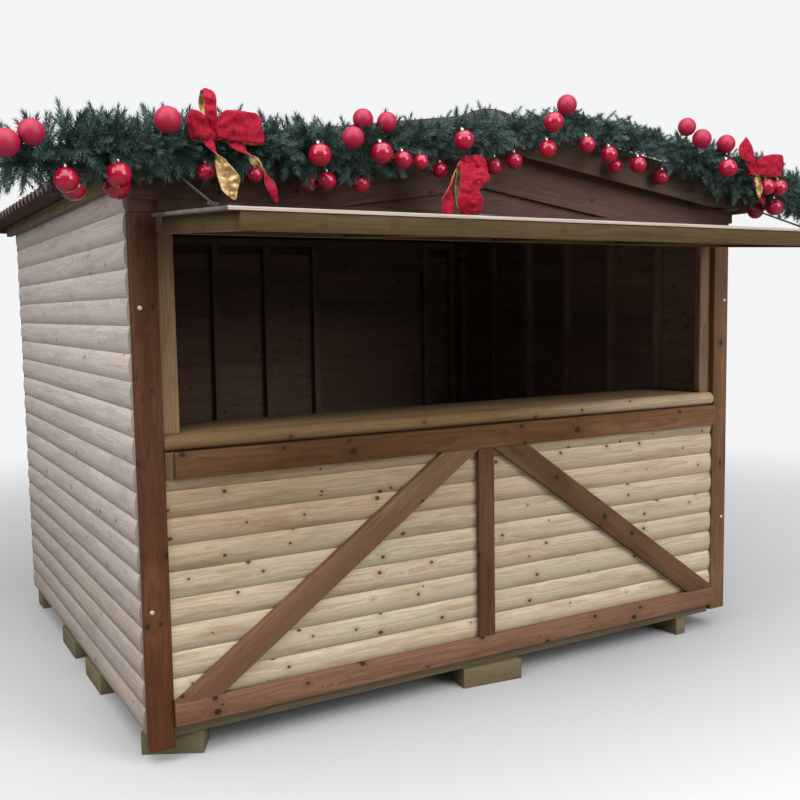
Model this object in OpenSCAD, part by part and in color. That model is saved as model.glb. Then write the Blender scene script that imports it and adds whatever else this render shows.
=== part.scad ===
// Wooden market stall: a loglap cabin with a counter and an open top-hung hatch.
// Origin on the ground under the middle of the cabin, X along the front, -Y to the customer.

/* [Cabin] */
// Width over the corner posts
cabin_w = 3000; // [2400:10:3600]
// Depth over the corner posts
cabin_d = 2430; // [1800:10:3000]
// Boards from the bottom of a side wall to its top
wall_boards = 20; // [17:1:22]
// Slope of the roof in degrees
roof_pitch = 8.5; // [7:0.5:12]

/* [Base] */
// Height of the packing blocks
block_h = 88; // [60:1:150]
// Width of a packing block
block_w = 130; // [90:5:180]
// Length of the blocks under the middle of each side
block_l = 294; // [200:1:400]
// Length of the blocks at the corners
corner_block_l = 195; // [140:5:220]
// Length of the block that lies askew behind the left front post
askew_l = 237; // [180:1:300]
// Turn of that block in degrees
askew_turn = 28; // [0:1:40]
// Height of a floor bearer
bearer_h = 70; // [45:1:95]
// How far the front and back blocks are set in from the face
block_set = 25; // [10:5:60]
// Distance from the middle of the cabin to a side block
side_block_y = 265; // [180:5:400]
// Thickness of the floor deck
deck_t = 20; // [15:1:28]

/* [Posts and rails] */
// Face width of a corner post
post_w = 95; // [70:1:120]
// Thickness of a corner post
post_t = 45; // [35:1:60]
// Thickness of the rails, upright and braces on the front
trim_t = 26; // [20:1:32]
// How far the rails and braces stand out in front of the posts
trim_out = 19; // [0:1:24]
// Bottom of the left front post above the ground
left_foot = 55; // [20:5:90]
// Bottom of the right front post above the ground
right_foot = 105; // [20:5:105]
// Bottom edge of the bottom rail
bottom_rail_z = 139; // [110:1:150]
// Height of the bottom rail
bottom_rail_h = 90; // [60:1:110]
// Height of the top rail
top_rail_h = 99; // [80:1:130]
// Length of the pale filler piece at the left end of the top rail
filler_l = 33; // [20:1:60]
// Width of the middle upright
upright_w = 80; // [60:1:130]
// Width of a diagonal brace, measured square to its edge
brace_w = 95; // [70:1:120]

/* [Cladding] */
// Height of the lowest board edge above the ground
cladding_z = 108; // [90:1:125]
// Cover of one loglap board
board_cover = 101.2; // [80:0.2:140]
// Full thickness of a board at its crest
board_t = 28; // [19:1:34]
// How far the round face falls back at a board's edges
board_round = 10; // [4:0.5:14]
// Height of the shadow groove under a board
groove_h = 4; // [2:0.5:8]
// How far the side boards stand out past the posts
board_proud = 12; // [4:1:20]

/* [Counter] */
// Top of the counter above the ground
counter_z = 1228; // [1000:1:1300]
// Depth of the counter from the face of the stall
counter_d = 370; // [250:5:500]
// Thickness of the counter board
counter_t = 22; // [18:1:40]
// Height of the round-nosed front piece
nosing_h = 63; // [40:1:80]
// How far the nosing stands out in front of the posts
nosing_out = 3; // [0:1:30]
// Width of a side jamb of the serving opening
jamb_w = 68; // [40:1:90]
// How far the jambs are set back from the face
jamb_set = 30; // [25:1:45]
// Thickness of a jamb
jamb_t = 36; // [20:1:45]

/* [Hatch] */
// Height of the hinge pin above the ground
hinge_z = 2024; // [1900:1:2100]
// Slope of the open hatch in degrees, outer edge low
hatch_slope = 3.6; // [0:0.2:10]
// Length of the hatch from the hinge pin to its outer edge
hatch_l = 771; // [600:1:785]
// Full depth of the hatch, boards and frame
hatch_t = 69; // [50:1:69]
// Thickness of the hatch boards
hatch_board_t = 12; // [9:1:18]
// Thickness of a hatch frame timber
hatch_rail_t = 38; // [28:1:45]
// Gap between the hatch frame and each post
hatch_side_gap = 6; // [5:1:12]
// Height of the head rail over the serving opening
head_rail_h = 70; // [45:1:90]
// How far the hatch boards lap over the frame at each side
hatch_lap = 38; // [20:1:60]
// Depth of the batten that carries the hinges
batten_t = 45; // [30:1:60]
// Height of the batten that carries the hinges
batten_h = 40; // [30:1:60]
// Radius of a hinge knuckle
knuckle_r = 6; // [4:0.5:6]

/* [Stays] */
// Distance from the cabin's side to a stay
stay_x = 120; // [110:5:200]
// Radius of a stay rod
stay_r = 4; // [3:0.5:5]
// Where a stay meets the hatch, measured from the hinge pin
stay_reach = 489; // [350:1:600]
// Height of the stay's upper pivot above the ground
stay_top_z = 2162; // [2145:1:2190]

/* [Roof] */
// Overhang of the sheets past the side walls
eave_over = 170; // [100:5:260]
// Distance from the posts to the back of a bargeboard
gable_over = 80; // [60:5:160]
// Side of a square purlin
purlin_w = 45; // [35:1:60]
// Width of one corrugation
wave_pitch = 95; // [70:1:120]
// Height of one corrugation
wave_h = 35; // [20:1:45]
// Thickness of a roof sheet
sheet_t = 3; // [2:0.5:5]
// Depth of the sloping boards nailed over a gable
rafter_h = 175; // [140:5:220]
// Thickness of the sloping boards nailed over a gable
rafter_t = 20; // [15:1:28]
// Depth of a bargeboard
barge_h = 147; // [120:1:180]
// How far a bargeboard reaches below the sheets
barge_drop = 70; // [50:1:100]
// Length of the level cut at a bargeboard's foot
barge_cut = 415; // [200:5:500]
// Thickness of a bargeboard
barge_t = 20; // [15:1:28]
// How far the ridge cap reaches down each slope
cap_reach = 200; // [150:10:260]
// Rise of the round ridge cap above its edges
cap_rise = 85; // [70:5:110]

/* [Back door] */
// Width of the door leaf
door_w = 790; // [650:5:800]
// Boards in the height of the door
door_boards = 18; // [17:1:18]

/* [Garland] */
// Radius of the garland's body
garland_r = 85; // [60:5:100]
// Reach of the garland past each end of the roof
garland_over = 330; // [150:10:400]
// Width of the bows' ribbon
ribbon_w = 62; // [40:2:80]

/* [Hidden] */
$fn = 32;

// Face-to-face parts are built this far apart
seat = 0.3;

half_w = cabin_w / 2;
half_d = cabin_d / 2;
face_y = -half_d;

// Levels of the base
bearer_z = block_h + seat;
deck_z = bearer_z + bearer_h + seat;
floor_z = deck_z + deck_t;

// Levels and planes of the walls
stud_w = 45;
wall_top = cladding_z + wall_boards * board_cover;
panel_boards = floor((counter_z - nosing_h - 40 - cladding_z) / board_cover);
crest_x = half_w + board_proud;
side_frame_x = crest_x - board_t - seat;
inner_x = side_frame_x - stud_w - seat;
post_back_y = face_y + post_t + seat;
trim_y = face_y - trim_out;
panel_crest_y = trim_y + trim_t + seat;
panel_frame_y = panel_crest_y + board_t + seat;
back_crest_y = half_d + board_proud;
back_frame_y = back_crest_y - board_t - seat;
rail_top = counter_z - nosing_h - seat;
rail_x = half_w - post_w - seat;

// Roof lines, measured to the underside of the sheets
plate_top = wall_top - 4;
back_boards = wall_boards - 1;
back_gable_foot = cladding_z + back_boards * board_cover + seat;
purlin_u = (side_frame_x - stud_w / 2) / cos(roof_pitch);
ridge_z = plate_top + 2 * seat + purlin_w * cos(roof_pitch)
          + (purlin_u + purlin_w / 2) * sin(roof_pitch);
slope_l = (half_w + eave_over) / cos(roof_pitch);
gable_top = ridge_z - (purlin_w + 3 * seat) / cos(roof_pitch);
gable_foot = hinge_z + 4;
gable_t = board_t;
barge_y = half_d + gable_over;
barge_low = ridge_z - barge_drop;
barge_end = half_w + eave_over + 15;
barge_foot = barge_low - (barge_end - barge_cut) * tan(roof_pitch);
sheet_y = barge_y - seat;

// Hatch, drawn level with its hinge pin at the origin and reaching towards -Y
pin_y = face_y - batten_t - knuckle_r;
hatch_half = rail_x + seat - hatch_side_gap;
hatch_back = 6;
hatch_top = -knuckle_r;
hinge_xs = [-1150, 0, 1150];
strap_l = 300;
strap_w = 34;
leaf_t = 3;
pin_r = 3;
hinge_gap = 0.05;

// Stays, drawn level with their upper pivot at the origin and reaching towards -Y
stay_pivot_y = -barge_y - barge_t - 20;
stud_h = 16;
stay_end_y = pin_y - stay_reach * cos(hatch_slope) - (hatch_top + stud_h) * sin(hatch_slope);
stay_end_z = hinge_z - stay_reach * sin(hatch_slope) + (hatch_top + stud_h) * cos(hatch_slope);
stay_l = norm([stay_pivot_y - stay_end_y, stay_top_z - stay_end_z]);
stay_slope = atan2(stay_top_z - stay_end_z, stay_pivot_y - stay_end_y);

// Back door
door_x = 350;
door_gap = 5;

// Garland: places of its bends as [distance along the front, height], from left to right
garland_y = -barge_y - barge_t - garland_r - seat;
garland_path = [[-half_w - eave_over - garland_over, 2120], [-half_w - 240, 2206],
                [-half_w + 150, 2243], [-half_w + 825, 2257], [-half_w + 1215, 2330],
                [-half_w + 1820, 2422], [-half_w + 2350, 2375], [half_w - 150, 2265],
                [half_w + 240, 2216], [half_w + eave_over + garland_over, 2130]];

function line_at(pts, x, i = 0) =
    (i >= len(pts) - 2 || x <= pts[i + 1][0])
    ? pts[i][1] + (x - pts[i][0]) * (pts[i + 1][1] - pts[i][1]) / (pts[i + 1][0] - pts[i][0])
    : line_at(pts, x, i + 1);
function slope_at(pts, x, i = 0) =
    (i >= len(pts) - 2 || x <= pts[i + 1][0])
    ? atan2(pts[i + 1][1] - pts[i][1], pts[i + 1][0] - pts[i][0])
    : slope_at(pts, x, i + 1);

// Baubles as [distance from the cabin's left side, turn round the garland, diameter]:
// 0 is in front of the garland, 90 on top of it and -90 under it
bauble_list = [[-426, 20, 87], [-345, 26, 82], [-291, -55, 81], [-261, -93, 85], [-103, -55, 83],
               [-92, -96, 90], [66, 27, 88], [201, -61, 60], [382, -67, 55], [598, -17, 82],
               [616, -97, 64], [664, -74, 68], [731, 13, 80], [809, 63, 76], [813, -83, 69],
               [842, -11, 81], [906, 45, 74], [935, -29, 67], [1019, -40, 60], [1132, -74, 61],
               [1203, -9, 77], [1418, -94, 71], [1486, -71, 68], [1624, -44, 73], [1640, 7, 82],
               [1740, 40, 82], [1848, -42, 71], [1987, -54, 72], [2114, -105, 64],
               [2172, -65, 73], [2407, 52, 80], [2411, -108, 70], [2470, 27, 85], [2646, 46, 83],
               [2646, -12, 83], [2918, -20, 76], [2997, -16, 77], [3029, -106, 80],
               [3045, -61, 81]];

// Bows as [distance from the cabin's left side, height of the knot, size]
bow_list = [[285, 2310, 1], [1330, 2300, 0.6], [2990, 2330, 0.9]];

// A block between two opposite corners
module block(low, high) {
    translate(low)
        cube(high - low);
}

// The same piece on both sides of the cabin
module both_sides() {
    for (side = [0, 1])
        mirror([side, 0, 0])
            children();
}

// One run of loglap boards, standing up in Z, with its face towards -Y and its crest at Y = 0
module loglap(length, boards) {
    arc_r = (pow((board_cover - groove_h) / 2, 2) + pow(board_round, 2)) / (2 * board_round);
    half_angle = asin((board_cover - groove_h) / 2 / arc_r);
    steps = 8;
    face = [for (n = [0:boards - 1], i = [-1:steps])
        let (a = -half_angle + 2 * half_angle * i / steps)
        i < 0
        ? [board_round + 3, n * board_cover]
        : [arc_r - arc_r * cos(a), n * board_cover + groove_h + (board_cover - groove_h) / 2
           + arc_r * sin(a)]];
    rotate([90, 0, 90])
        linear_extrude(height = length)
            polygon(concat(face, [[board_t, boards * board_cover], [board_t, 0]]));
}

// A gable-shaped board: level foot, top along both slopes
module gable_board(foot, apex, half, thick) {
    rotate([90, 0, 0])
        linear_extrude(height = thick)
            polygon([[-half, foot], [half, foot], [half, apex - half * tan(roof_pitch)],
                     [0, apex], [-half, apex - half * tan(roof_pitch)]]);
}

// A sloping board from the ridge to the eave on the right side, cut level at its foot
module slope_board(low, high, foot, half, thick) {
    run = (low - foot) / tan(roof_pitch);
    rotate([90, 0, 0])
        linear_extrude(height = thick)
            polygon([[seat, low], [seat, high], [half, high - half * tan(roof_pitch)],
                     [half, foot], [min(run, half), foot]]);
}

module packing_blocks() {
    corner_x = half_w - 15 - corner_block_l;
    front_y = face_y + block_set;
    back_y = half_d - block_set - block_w;
    color("darkkhaki") {
        translate([-109, face_y + 12, 0])
            rotate(-6)
                cube([block_l, block_w, block_h]);
        translate([-half_w - 3, face_y + 126, 0])
            rotate(-askew_turn)
                cube([askew_l, block_w, block_h]);
        for (y = [-block_w / 2, back_y])
            translate([-block_l / 2, y, 0])
                cube([block_l, block_w, block_h]);
        for (x = [-corner_x - corner_block_l, corner_x])
            translate([x, back_y, 0])
                cube([corner_block_l, block_w, block_h]);
        for (x = [-half_w, half_w - block_w], y = [-side_block_y, side_block_y])
            translate([x, y - block_l / 2, 0])
                cube([block_w, block_l, block_h]);
        block([half_w - 310, front_y, 0], [half_w - 250, front_y + block_l, block_h]);
    }
}

// Two long bearers under the side walls with cross bearers between them
module floor_bearers() {
    first = face_y + block_set;
    last = half_d - post_t - seat - stud_w;
    color("burlywood") {
        for (i = [0:6])
            let (half = i == 0 ? rail_x : inner_x)
                translate([-half, first + (last - first) * i / 6, bearer_z])
                    cube([2 * half, stud_w, bearer_h]);
        for (x = [-side_frame_x, side_frame_x - stud_w])
            translate([x, post_back_y, bearer_z])
                cube([stud_w, last + stud_w - post_back_y, bearer_h]);
    }
}

module floor_deck() {
    color("tan")
        block([-inner_x, panel_frame_y + stud_w + seat, deck_z],
              [inner_x, back_frame_y - stud_w - seat, floor_z]);
}

module corner_post(foot, top) {
    block([half_w - post_w, 0, foot], [half_w, post_t, top]);
}

module front_posts() {
    color("saddlebrown")
        translate([0, face_y, 0]) {
            corner_post(right_foot, gable_foot - seat);
            mirror([1, 0, 0])
                corner_post(left_foot, gable_foot - seat);
        }
}

module back_posts() {
    color("saddlebrown")
        translate([0, half_d - post_t, 0])
            both_sides()
                corner_post(right_foot, back_gable_foot - seat);
}

// Square studs between two plates, in a run along X from the origin
module stud_wall(length, height, bays) {
    cube([length, stud_w, stud_w]);
    translate([0, 0, height - stud_w])
        cube([length, stud_w, stud_w]);
    for (i = [0:bays])
        translate([(length - stud_w) * i / bays, 0, stud_w + seat])
            cube([stud_w, stud_w, height - 2 * stud_w - 2 * seat]);
}

module side_frame() {
    translate([side_frame_x, post_back_y, deck_z])
        rotate([0, 0, 90])
            stud_wall(-2 * post_back_y, plate_top - deck_z, 6);
}

module left_wall_frame() {
    color("tan")
        mirror([1, 0, 0])
            side_frame();
}

module right_wall_frame() {
    color("tan")
        side_frame();
}

module back_wall_frame() {
    y0 = back_frame_y - stud_w;
    door_l = door_x - door_gap;
    door_r = door_x + door_w + door_gap;
    high = plate_top - deck_z;
    color("tan") {
        translate([-rail_x, y0, deck_z])
            stud_wall(rail_x + door_l, high, 5);
        translate([door_r, y0, deck_z])
            stud_wall(rail_x - door_r, high, 1);
        block([door_l + seat, y0, cladding_z + door_boards * board_cover],
              [door_r - seat, back_frame_y, plate_top]);
    }
}

module front_panel_frame() {
    color("tan")
        translate([-rail_x, panel_frame_y, deck_z])
            stud_wall(2 * rail_x, counter_z - counter_t - seat - deck_z, 8);
}

module left_cladding() {
    color("lightgray")
        translate([-crest_x, -post_back_y, cladding_z])
            rotate([0, 0, -90])
                loglap(-2 * post_back_y, wall_boards);
}

module right_cladding() {
    color("lightgray")
        translate([crest_x, post_back_y, cladding_z])
            rotate([0, 0, 90])
                loglap(-2 * post_back_y, wall_boards);
}

module front_cladding() {
    color("wheat")
        translate([-rail_x, panel_crest_y, cladding_z + board_cover])
            loglap(2 * rail_x, panel_boards - 1);
}

// A length of back cladding between two places across the back wall
module back_run(x0, x1, boards) {
    translate([x1, back_crest_y, 0])
        rotate([0, 0, 180])
            loglap(x1 - x0, boards);
}

module back_cladding() {
    color("lightgray")
        translate([0, 0, cladding_z]) {
            back_run(-rail_x, door_x - door_gap, back_boards);
            back_run(door_x + door_w + door_gap, rail_x, back_boards);
        }
}

module door_head_cladding() {
    color("lightgray")
        translate([0, 0, cladding_z + door_boards * board_cover])
            back_run(door_x - door_gap + seat, door_x + door_w + door_gap - seat,
                     back_boards - door_boards);
}

module back_door() {
    color("wheat")
        translate([0, 0, cladding_z])
            back_run(door_x, door_x + door_w, door_boards);
}

// Long strap hinges and a hasp on the outside of the closed door
module door_furniture() {
    strap_y = back_crest_y + seat;
    hinge_x = door_x + door_w + door_gap;
    color("dimgray") {
        for (n = [2, 9, 16])
            translate([0, strap_y, cladding_z + (n - 0.5) * board_cover]) {
                block([hinge_x - 300, 0, -strap_w / 2], [hinge_x - 8, 4, strap_w / 2]);
                block([hinge_x - 8, 0, -60], [hinge_x + 50, 4, 60]);
            }
        translate([0, strap_y, cladding_z + 9.5 * board_cover])
            block([door_x - 60, 0, -16], [door_x + 90, 6, 16]);
    }
}

module bottom_rail() {
    color("rosybrown")
        block([-rail_x, trim_y, bottom_rail_z],
              [rail_x, trim_y + trim_t, bottom_rail_z + bottom_rail_h]);
}

module top_rail() {
    color("rosybrown")
        block([filler_l - rail_x, trim_y, rail_top - top_rail_h],
              [rail_x, trim_y + trim_t, rail_top]);
}

module mid_upright() {
    color("rosybrown")
        block([-upright_w / 2, trim_y, bottom_rail_z + bottom_rail_h + seat],
              [upright_w / 2, trim_y + trim_t, rail_top - top_rail_h - seat]);
}

// A diagonal on the right half, from the upright's head down to the post's foot
module brace() {
    low = bottom_rail_z + bottom_rail_h + seat;
    high = rail_top - top_rail_h - seat;
    in_x = upright_w / 2 + seat;
    out_x = rail_x;
    run = out_x - in_x;
    rise = high - low;
    tilt = atan2(rise, run);
    cut = brace_w / sin(tilt);
    translate([0, trim_y + trim_t, 0])
        rotate([90, 0, 0])
            linear_extrude(height = trim_t)
                polygon([[in_x, high], [in_x + cut, high], [out_x, low + seat],
                         [out_x, low], [out_x - cut + seat, low]]);
}

module left_brace() {
    color("rosybrown")
        mirror([1, 0, 0])
            brace();
}

module right_brace() {
    color("rosybrown")
        brace();
}

module counter() {
    color("wheat")
        block([-rail_x, panel_frame_y, counter_z - counter_t],
              [rail_x, face_y + counter_d, counter_z]);
}

// Front piece of the counter with a half-round nose
module counter_nosing() {
    r = nosing_h / 2;
    depth = panel_frame_y - seat - face_y;
    color("wheat")
        translate([-rail_x, face_y, counter_z - nosing_h])
            rotate([90, 0, 90])
                linear_extrude(height = 2 * rail_x)
                    union() {
                        translate([r - nosing_out, 0])
                            square([depth - r + nosing_out, nosing_h]);
                        intersection() {
                            translate([r - nosing_out, r])
                                circle(r = r, $fn = 48);
                            translate([-nosing_out, 0])
                                square([r + 1, nosing_h]);
                        }
                    }
}

// Side jambs of the opening, and the filler piece at the left end of the top rail
module jambs() {
    y0 = face_y + jamb_set;
    color("wheat") {
        both_sides()
            block([rail_x - jamb_w, y0, counter_z + seat],
                  [rail_x, y0 + jamb_t, gable_foot - head_rail_h - 2 * seat]);
        block([-rail_x, face_y - 5, rail_top - top_rail_h],
              [filler_l - rail_x - seat, panel_crest_y - seat, rail_top]);
    }
}

module head_rail() {
    y0 = face_y + jamb_set;
    color("tan")
        block([-rail_x, y0, gable_foot - seat - head_rail_h], [rail_x, y0 + stud_w, gable_foot - seat]);
}

module hinge_batten() {
    color("saddlebrown")
        block([-rail_x, face_y - batten_t, hinge_z + knuckle_r],
              [rail_x, face_y - seat, hinge_z + knuckle_r + batten_h]);
}

module front_gable() {
    color("saddlebrown")
        translate([0, face_y + gable_t, 0])
            gable_board(gable_foot, gable_top, half_w, gable_t);
}

module back_gable() {
    color("saddlebrown")
        translate([0, back_crest_y, 0])
            gable_board(back_gable_foot, gable_top, half_w, gable_t);
}

// Sloping boards nailed over a gable, close under the roof
module gable_rafters() {
    both_sides()
        slope_board(gable_top - rafter_h, gable_top, hinge_z + knuckle_r + batten_h + seat,
                    half_w, rafter_t);
}

module front_rafters() {
    color("saddlebrown")
        translate([0, face_y - seat, 0])
            gable_rafters();
}

module back_rafters() {
    color("saddlebrown")
        translate([0, back_crest_y + seat + rafter_t, 0])
            gable_rafters();
}

// Purlins under the sheets, square to the slope, from bargeboard to bargeboard
module purlins() {
    color("tan")
        both_sides()
            translate([0, 0, ridge_z])
                rotate([0, roof_pitch, 0])
                    for (u = [purlin_w / 2 + 8, for (n = [1:4]) purlin_u * n / 4])
                        block([u - purlin_w / 2, -sheet_y, -purlin_w - seat],
                              [u + purlin_w / 2, sheet_y, -seat]);
}

module eave_fascias() {
    low = wall_top - 16;
    x0 = crest_x + seat;
    x1 = crest_x + 28;
    high = ridge_z - x1 * tan(roof_pitch) - seat;
    color("burlywood")
        both_sides()
            block([x0, -sheet_y, low], [x1, sheet_y, high]);
}

module bargeboards() {
    both_sides()
        slope_board(barge_low, barge_low + barge_h, barge_foot, barge_end, barge_t);
}

module front_bargeboards() {
    color("peru")
        translate([0, -barge_y, 0])
            bargeboards();
}

module back_bargeboards() {
    color("peru")
        translate([0, barge_y + barge_t, 0])
            bargeboards();
}

// A corrugated sheet on the right slope, waves running down the slope
module roof_sheet() {
    steps = floor(2 * sheet_y / wave_pitch * 8);
    wave = [for (i = [0:steps])
        let (y = -sheet_y + 2 * sheet_y * i / steps)
        [y, wave_h * (1 - cos(360 * y / wave_pitch)) / 2]];
    upper = [for (p = wave) [p[0], p[1] + sheet_t]];
    lower = [for (i = [len(wave) - 1:-1:0]) wave[i]];
    translate([0, 0, ridge_z])
        rotate([0, roof_pitch, 0])
            rotate([90, 0, 90])
                translate([0, 0, wave_h])
                    linear_extrude(height = slope_l - wave_h)
                        polygon(concat(upper, lower));
}

module left_roof_sheet() {
    color("dimgray")
        mirror([1, 0, 0])
            roof_sheet();
}

module right_roof_sheet() {
    color("dimgray")
        roof_sheet();
}

// Round cap over the ridge, resting on the crests of both sheets
module ridge_cap() {
    edge_z = ridge_z - cap_reach * tan(roof_pitch) + (wave_h + sheet_t + seat) / cos(roof_pitch);
    arc_r = (pow(cap_reach, 2) + pow(cap_rise, 2)) / (2 * cap_rise);
    half_angle = asin(cap_reach / arc_r);
    arc = [for (i = [-8:8]) let (a = half_angle * i / 8)
        [arc_r * sin(a), arc_r * cos(a) - arc_r + cap_rise]];
    under = [for (i = [len(arc) - 1:-1:0]) [arc[i][0], arc[i][1] - sheet_t]];
    color("dimgray")
        translate([0, sheet_y, edge_z + sheet_t])
            rotate([90, 0, 0])
                linear_extrude(height = 2 * sheet_y)
                    polygon(concat(arc, under));
}

// Fixed leaves on the batten, with the hinge pins that the straps turn on
module hinge_plates() {
    color("dimgray")
        for (x = hinge_xs)
            translate([x, 0, hinge_z]) {
                block([-50, face_y - batten_t - leaf_t - seat, knuckle_r],
                      [50, face_y - batten_t - seat, batten_h]);
                translate([-50, pin_y, 0])
                    rotate([0, 90, 0]) {
                        cylinder(r = pin_r, h = 100);
                        cylinder(r = knuckle_r, h = 24);
                        translate([0, 0, 76])
                            cylinder(r = knuckle_r, h = 24);
                    }
                for (side = [-50, 26])
                    block([side, pin_y, 0],
                          [side + 24, pin_y + leaf_t, knuckle_r + 1]);
            }
}

// Plates on the bargeboards that carry the stays' upper pivots
module stay_brackets() {
    color("silver")
        both_sides()
            translate([half_w - stay_x, 0, stay_top_z]) {
                block([-14, -barge_y - barge_t - 4, -14], [14, -barge_y - barge_t - seat, 30]);
                for (side = [-14, 10])
                    block([side, stay_pivot_y - 8, -8], [side + 4, -barge_y - barge_t - 3, 8]);
                translate([-14, stay_pivot_y, 0])
                    rotate([0, 90, 0])
                        cylinder(r = 3, h = 28);
            }
}

// The garland's body: a many-sided tube along the path, mitred at each bend
module garland() {
    sides = 32;
    last = len(garland_path) - 1;
    runs = [for (i = [0:last - 1])
        let (step = garland_path[i + 1] - garland_path[i]) atan2(step[1], step[0])];
    rings = [for (i = [0:last])
        let (before = runs[max(i - 1, 0)], after = runs[min(i, last - 1)],
             tilt = (before + after) / 2, rise = garland_r / cos((after - before) / 2))
        for (k = [0:sides - 1])
            let (across = rise * sin(360 * k / sides))
            [garland_path[i][0] - across * sin(tilt), garland_y - garland_r * cos(360 * k / sides),
             garland_path[i][1] + across * cos(tilt)]];
    walls = [for (i = [0:last - 1], k = [0:sides - 1])
        let (next = (k + 1) % sides)
        [i * sides + k, i * sides + next, (i + 1) * sides + next, (i + 1) * sides + k]];
    ends = [[for (k = [sides - 1:-1:0]) k], [for (k = [0:sides - 1]) last * sides + k]];
    color("darkgreen")
        polyhedron(points = rings, faces = concat(walls, ends));
}

module baubles() {
    color("crimson")
        for (b = bauble_list) {
            x = b[0] - half_w;
            tilt = slope_at(garland_path, x);
            out = garland_r + b[2] / 2 + seat;
            translate([x, garland_y, line_at(garland_path, x)])
                rotate([0, -tilt, 0])
                    translate([0, -out * cos(b[1]), out * sin(b[1])])
                        sphere(r = b[2] / 2);
        }
}

// One bow: a knot, two flat loops and two tails of wide ribbon
module bow(size) {
    loop_r = 62 * size;
    tail_l = 110 * size;
    rotate([90, 0, 0])
        linear_extrude(height = ribbon_w * size) {
            circle(r = 24 * size);
            for (side = [-1, 1]) {
                translate([side * (loop_r + 14 * size), 18 * size])
                    difference() {
                        circle(r = loop_r);
                        circle(r = loop_r - 5);
                    }
                rotate(side * 25)
                    translate([-8 * size, -tail_l])
                        square([16 * size, tail_l]);
            }
        }
}

module bows() {
    color("red")
        for (b = bow_list)
            translate([b[0] - half_w, garland_y - garland_r - seat, b[1]])
                bow(b[2]);
}

// Everything on the hatch is drawn level and then turned about the hinge pin
module on_hatch() {
    translate([0, pin_y, hinge_z])
        rotate([hatch_slope, 0, 0])
            children();
}

module hatch_frame() {
    top = hatch_top - hatch_board_t - seat;
    low = hatch_top - hatch_t;
    cross_l = hatch_l - hatch_back - 2 * hatch_rail_t - 2 * seat;
    color("burlywood")
        on_hatch() {
            for (y = [-hatch_l, -hatch_back - hatch_rail_t])
                block([-hatch_half, y, low], [hatch_half, y + hatch_rail_t, top]);
            for (i = [0:4])
                translate([-hatch_half + (2 * hatch_half - hatch_rail_t) * i / 4,
                           -hatch_l + hatch_rail_t + seat, low])
                    cube([hatch_rail_t, cross_l, top - low]);
        }
}

module hatch_boards() {
    color("burlywood")
        on_hatch()
            block([-hatch_half - hatch_lap, -hatch_l - 4, hatch_top - hatch_board_t],
                  [hatch_half + hatch_lap, -hatch_back, hatch_top]);
}

// Straps along the top of the hatch, with the middle knuckle of each hinge and the stay studs
module hatch_straps() {
    color("dimgray")
        on_hatch() {
            for (x = hinge_xs)
                translate([x, 0, 0])
                    difference() {
                        union() {
                            block([-strap_w / 2, -strap_l, hatch_top + seat],
                                  [strap_w / 2, -knuckle_r / 2, hatch_top + leaf_t]);
                            translate([-24, 0, 0])
                                rotate([0, 90, 0])
                                    cylinder(r = knuckle_r - seat, h = 48);
                        }
                        translate([-60, 0, 0])
                            rotate([0, 90, 0])
                                cylinder(r = pin_r + hinge_gap, h = 120);
                    }
            both_sides()
                translate([half_w - stay_x, -stay_reach, hatch_top + seat]) {
                    translate([-20, -20, 0])
                        cube([40, 40, leaf_t]);
                    cylinder(r = 3.5, h = stud_h + 5);
                }
        }
}

// A taut rod with a ring at each end
module stay() {
    ring_r = 13;
    translate([half_w - stay_x, stay_pivot_y, stay_top_z])
        rotate([stay_slope, 0, 0])
            difference() {
                union() {
                    translate([-7, 0, 0])
                        rotate([0, 90, 0])
                            cylinder(r = 9, h = 14);
                    rotate([90, 0, 0])
                        cylinder(r = stay_r, h = stay_l - ring_r - 3);
                    translate([0, -stay_l, -3])
                        cylinder(r = ring_r + 6, h = 6);
                }
                translate([-8, 0, 0])
                    rotate([0, 90, 0])
                        cylinder(r = 3.05, h = 16);
                translate([0, -stay_l, -4])
                    cylinder(r = ring_r, h = 8);
            }
}

module left_stay() {
    color("silver")
        mirror([1, 0, 0])
            stay();
}

module right_stay() {
    color("silver")
        stay();
}

packing_blocks();
floor_bearers();
floor_deck();
front_posts();
back_posts();
left_wall_frame();
right_wall_frame();
back_wall_frame();
front_panel_frame();
left_cladding();
right_cladding();
front_cladding();
back_cladding();
door_head_cladding();
back_door();
door_furniture();
bottom_rail();
top_rail();
mid_upright();
left_brace();
right_brace();
counter();
counter_nosing();
jambs();
head_rail();
hinge_batten();
front_gable();
back_gable();
front_rafters();
back_rafters();
purlins();
eave_fascias();
front_bargeboards();
back_bargeboards();
left_roof_sheet();
right_roof_sheet();
ridge_cap();
hinge_plates();
stay_brackets();
garland();
baubles();
bows();
hatch_frame();
hatch_boards();
hatch_straps();
left_stay();
right_stay();
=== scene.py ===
# %% [markdown]
# # A wooden market stall
#
# A timber cabin with loglap walls, a counter, a hatch held open over it and a garland along
# the roof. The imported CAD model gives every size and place, in metres: X runs along the
# front, -Y points to the customer and Z is up. This script dresses that model for a picture.

# %% Load the fixed frame
import math
import random

import bmesh
import bpy
from mathutils import Matrix, Vector, noise
from mathutils.bvhtree import BVHTree


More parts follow.
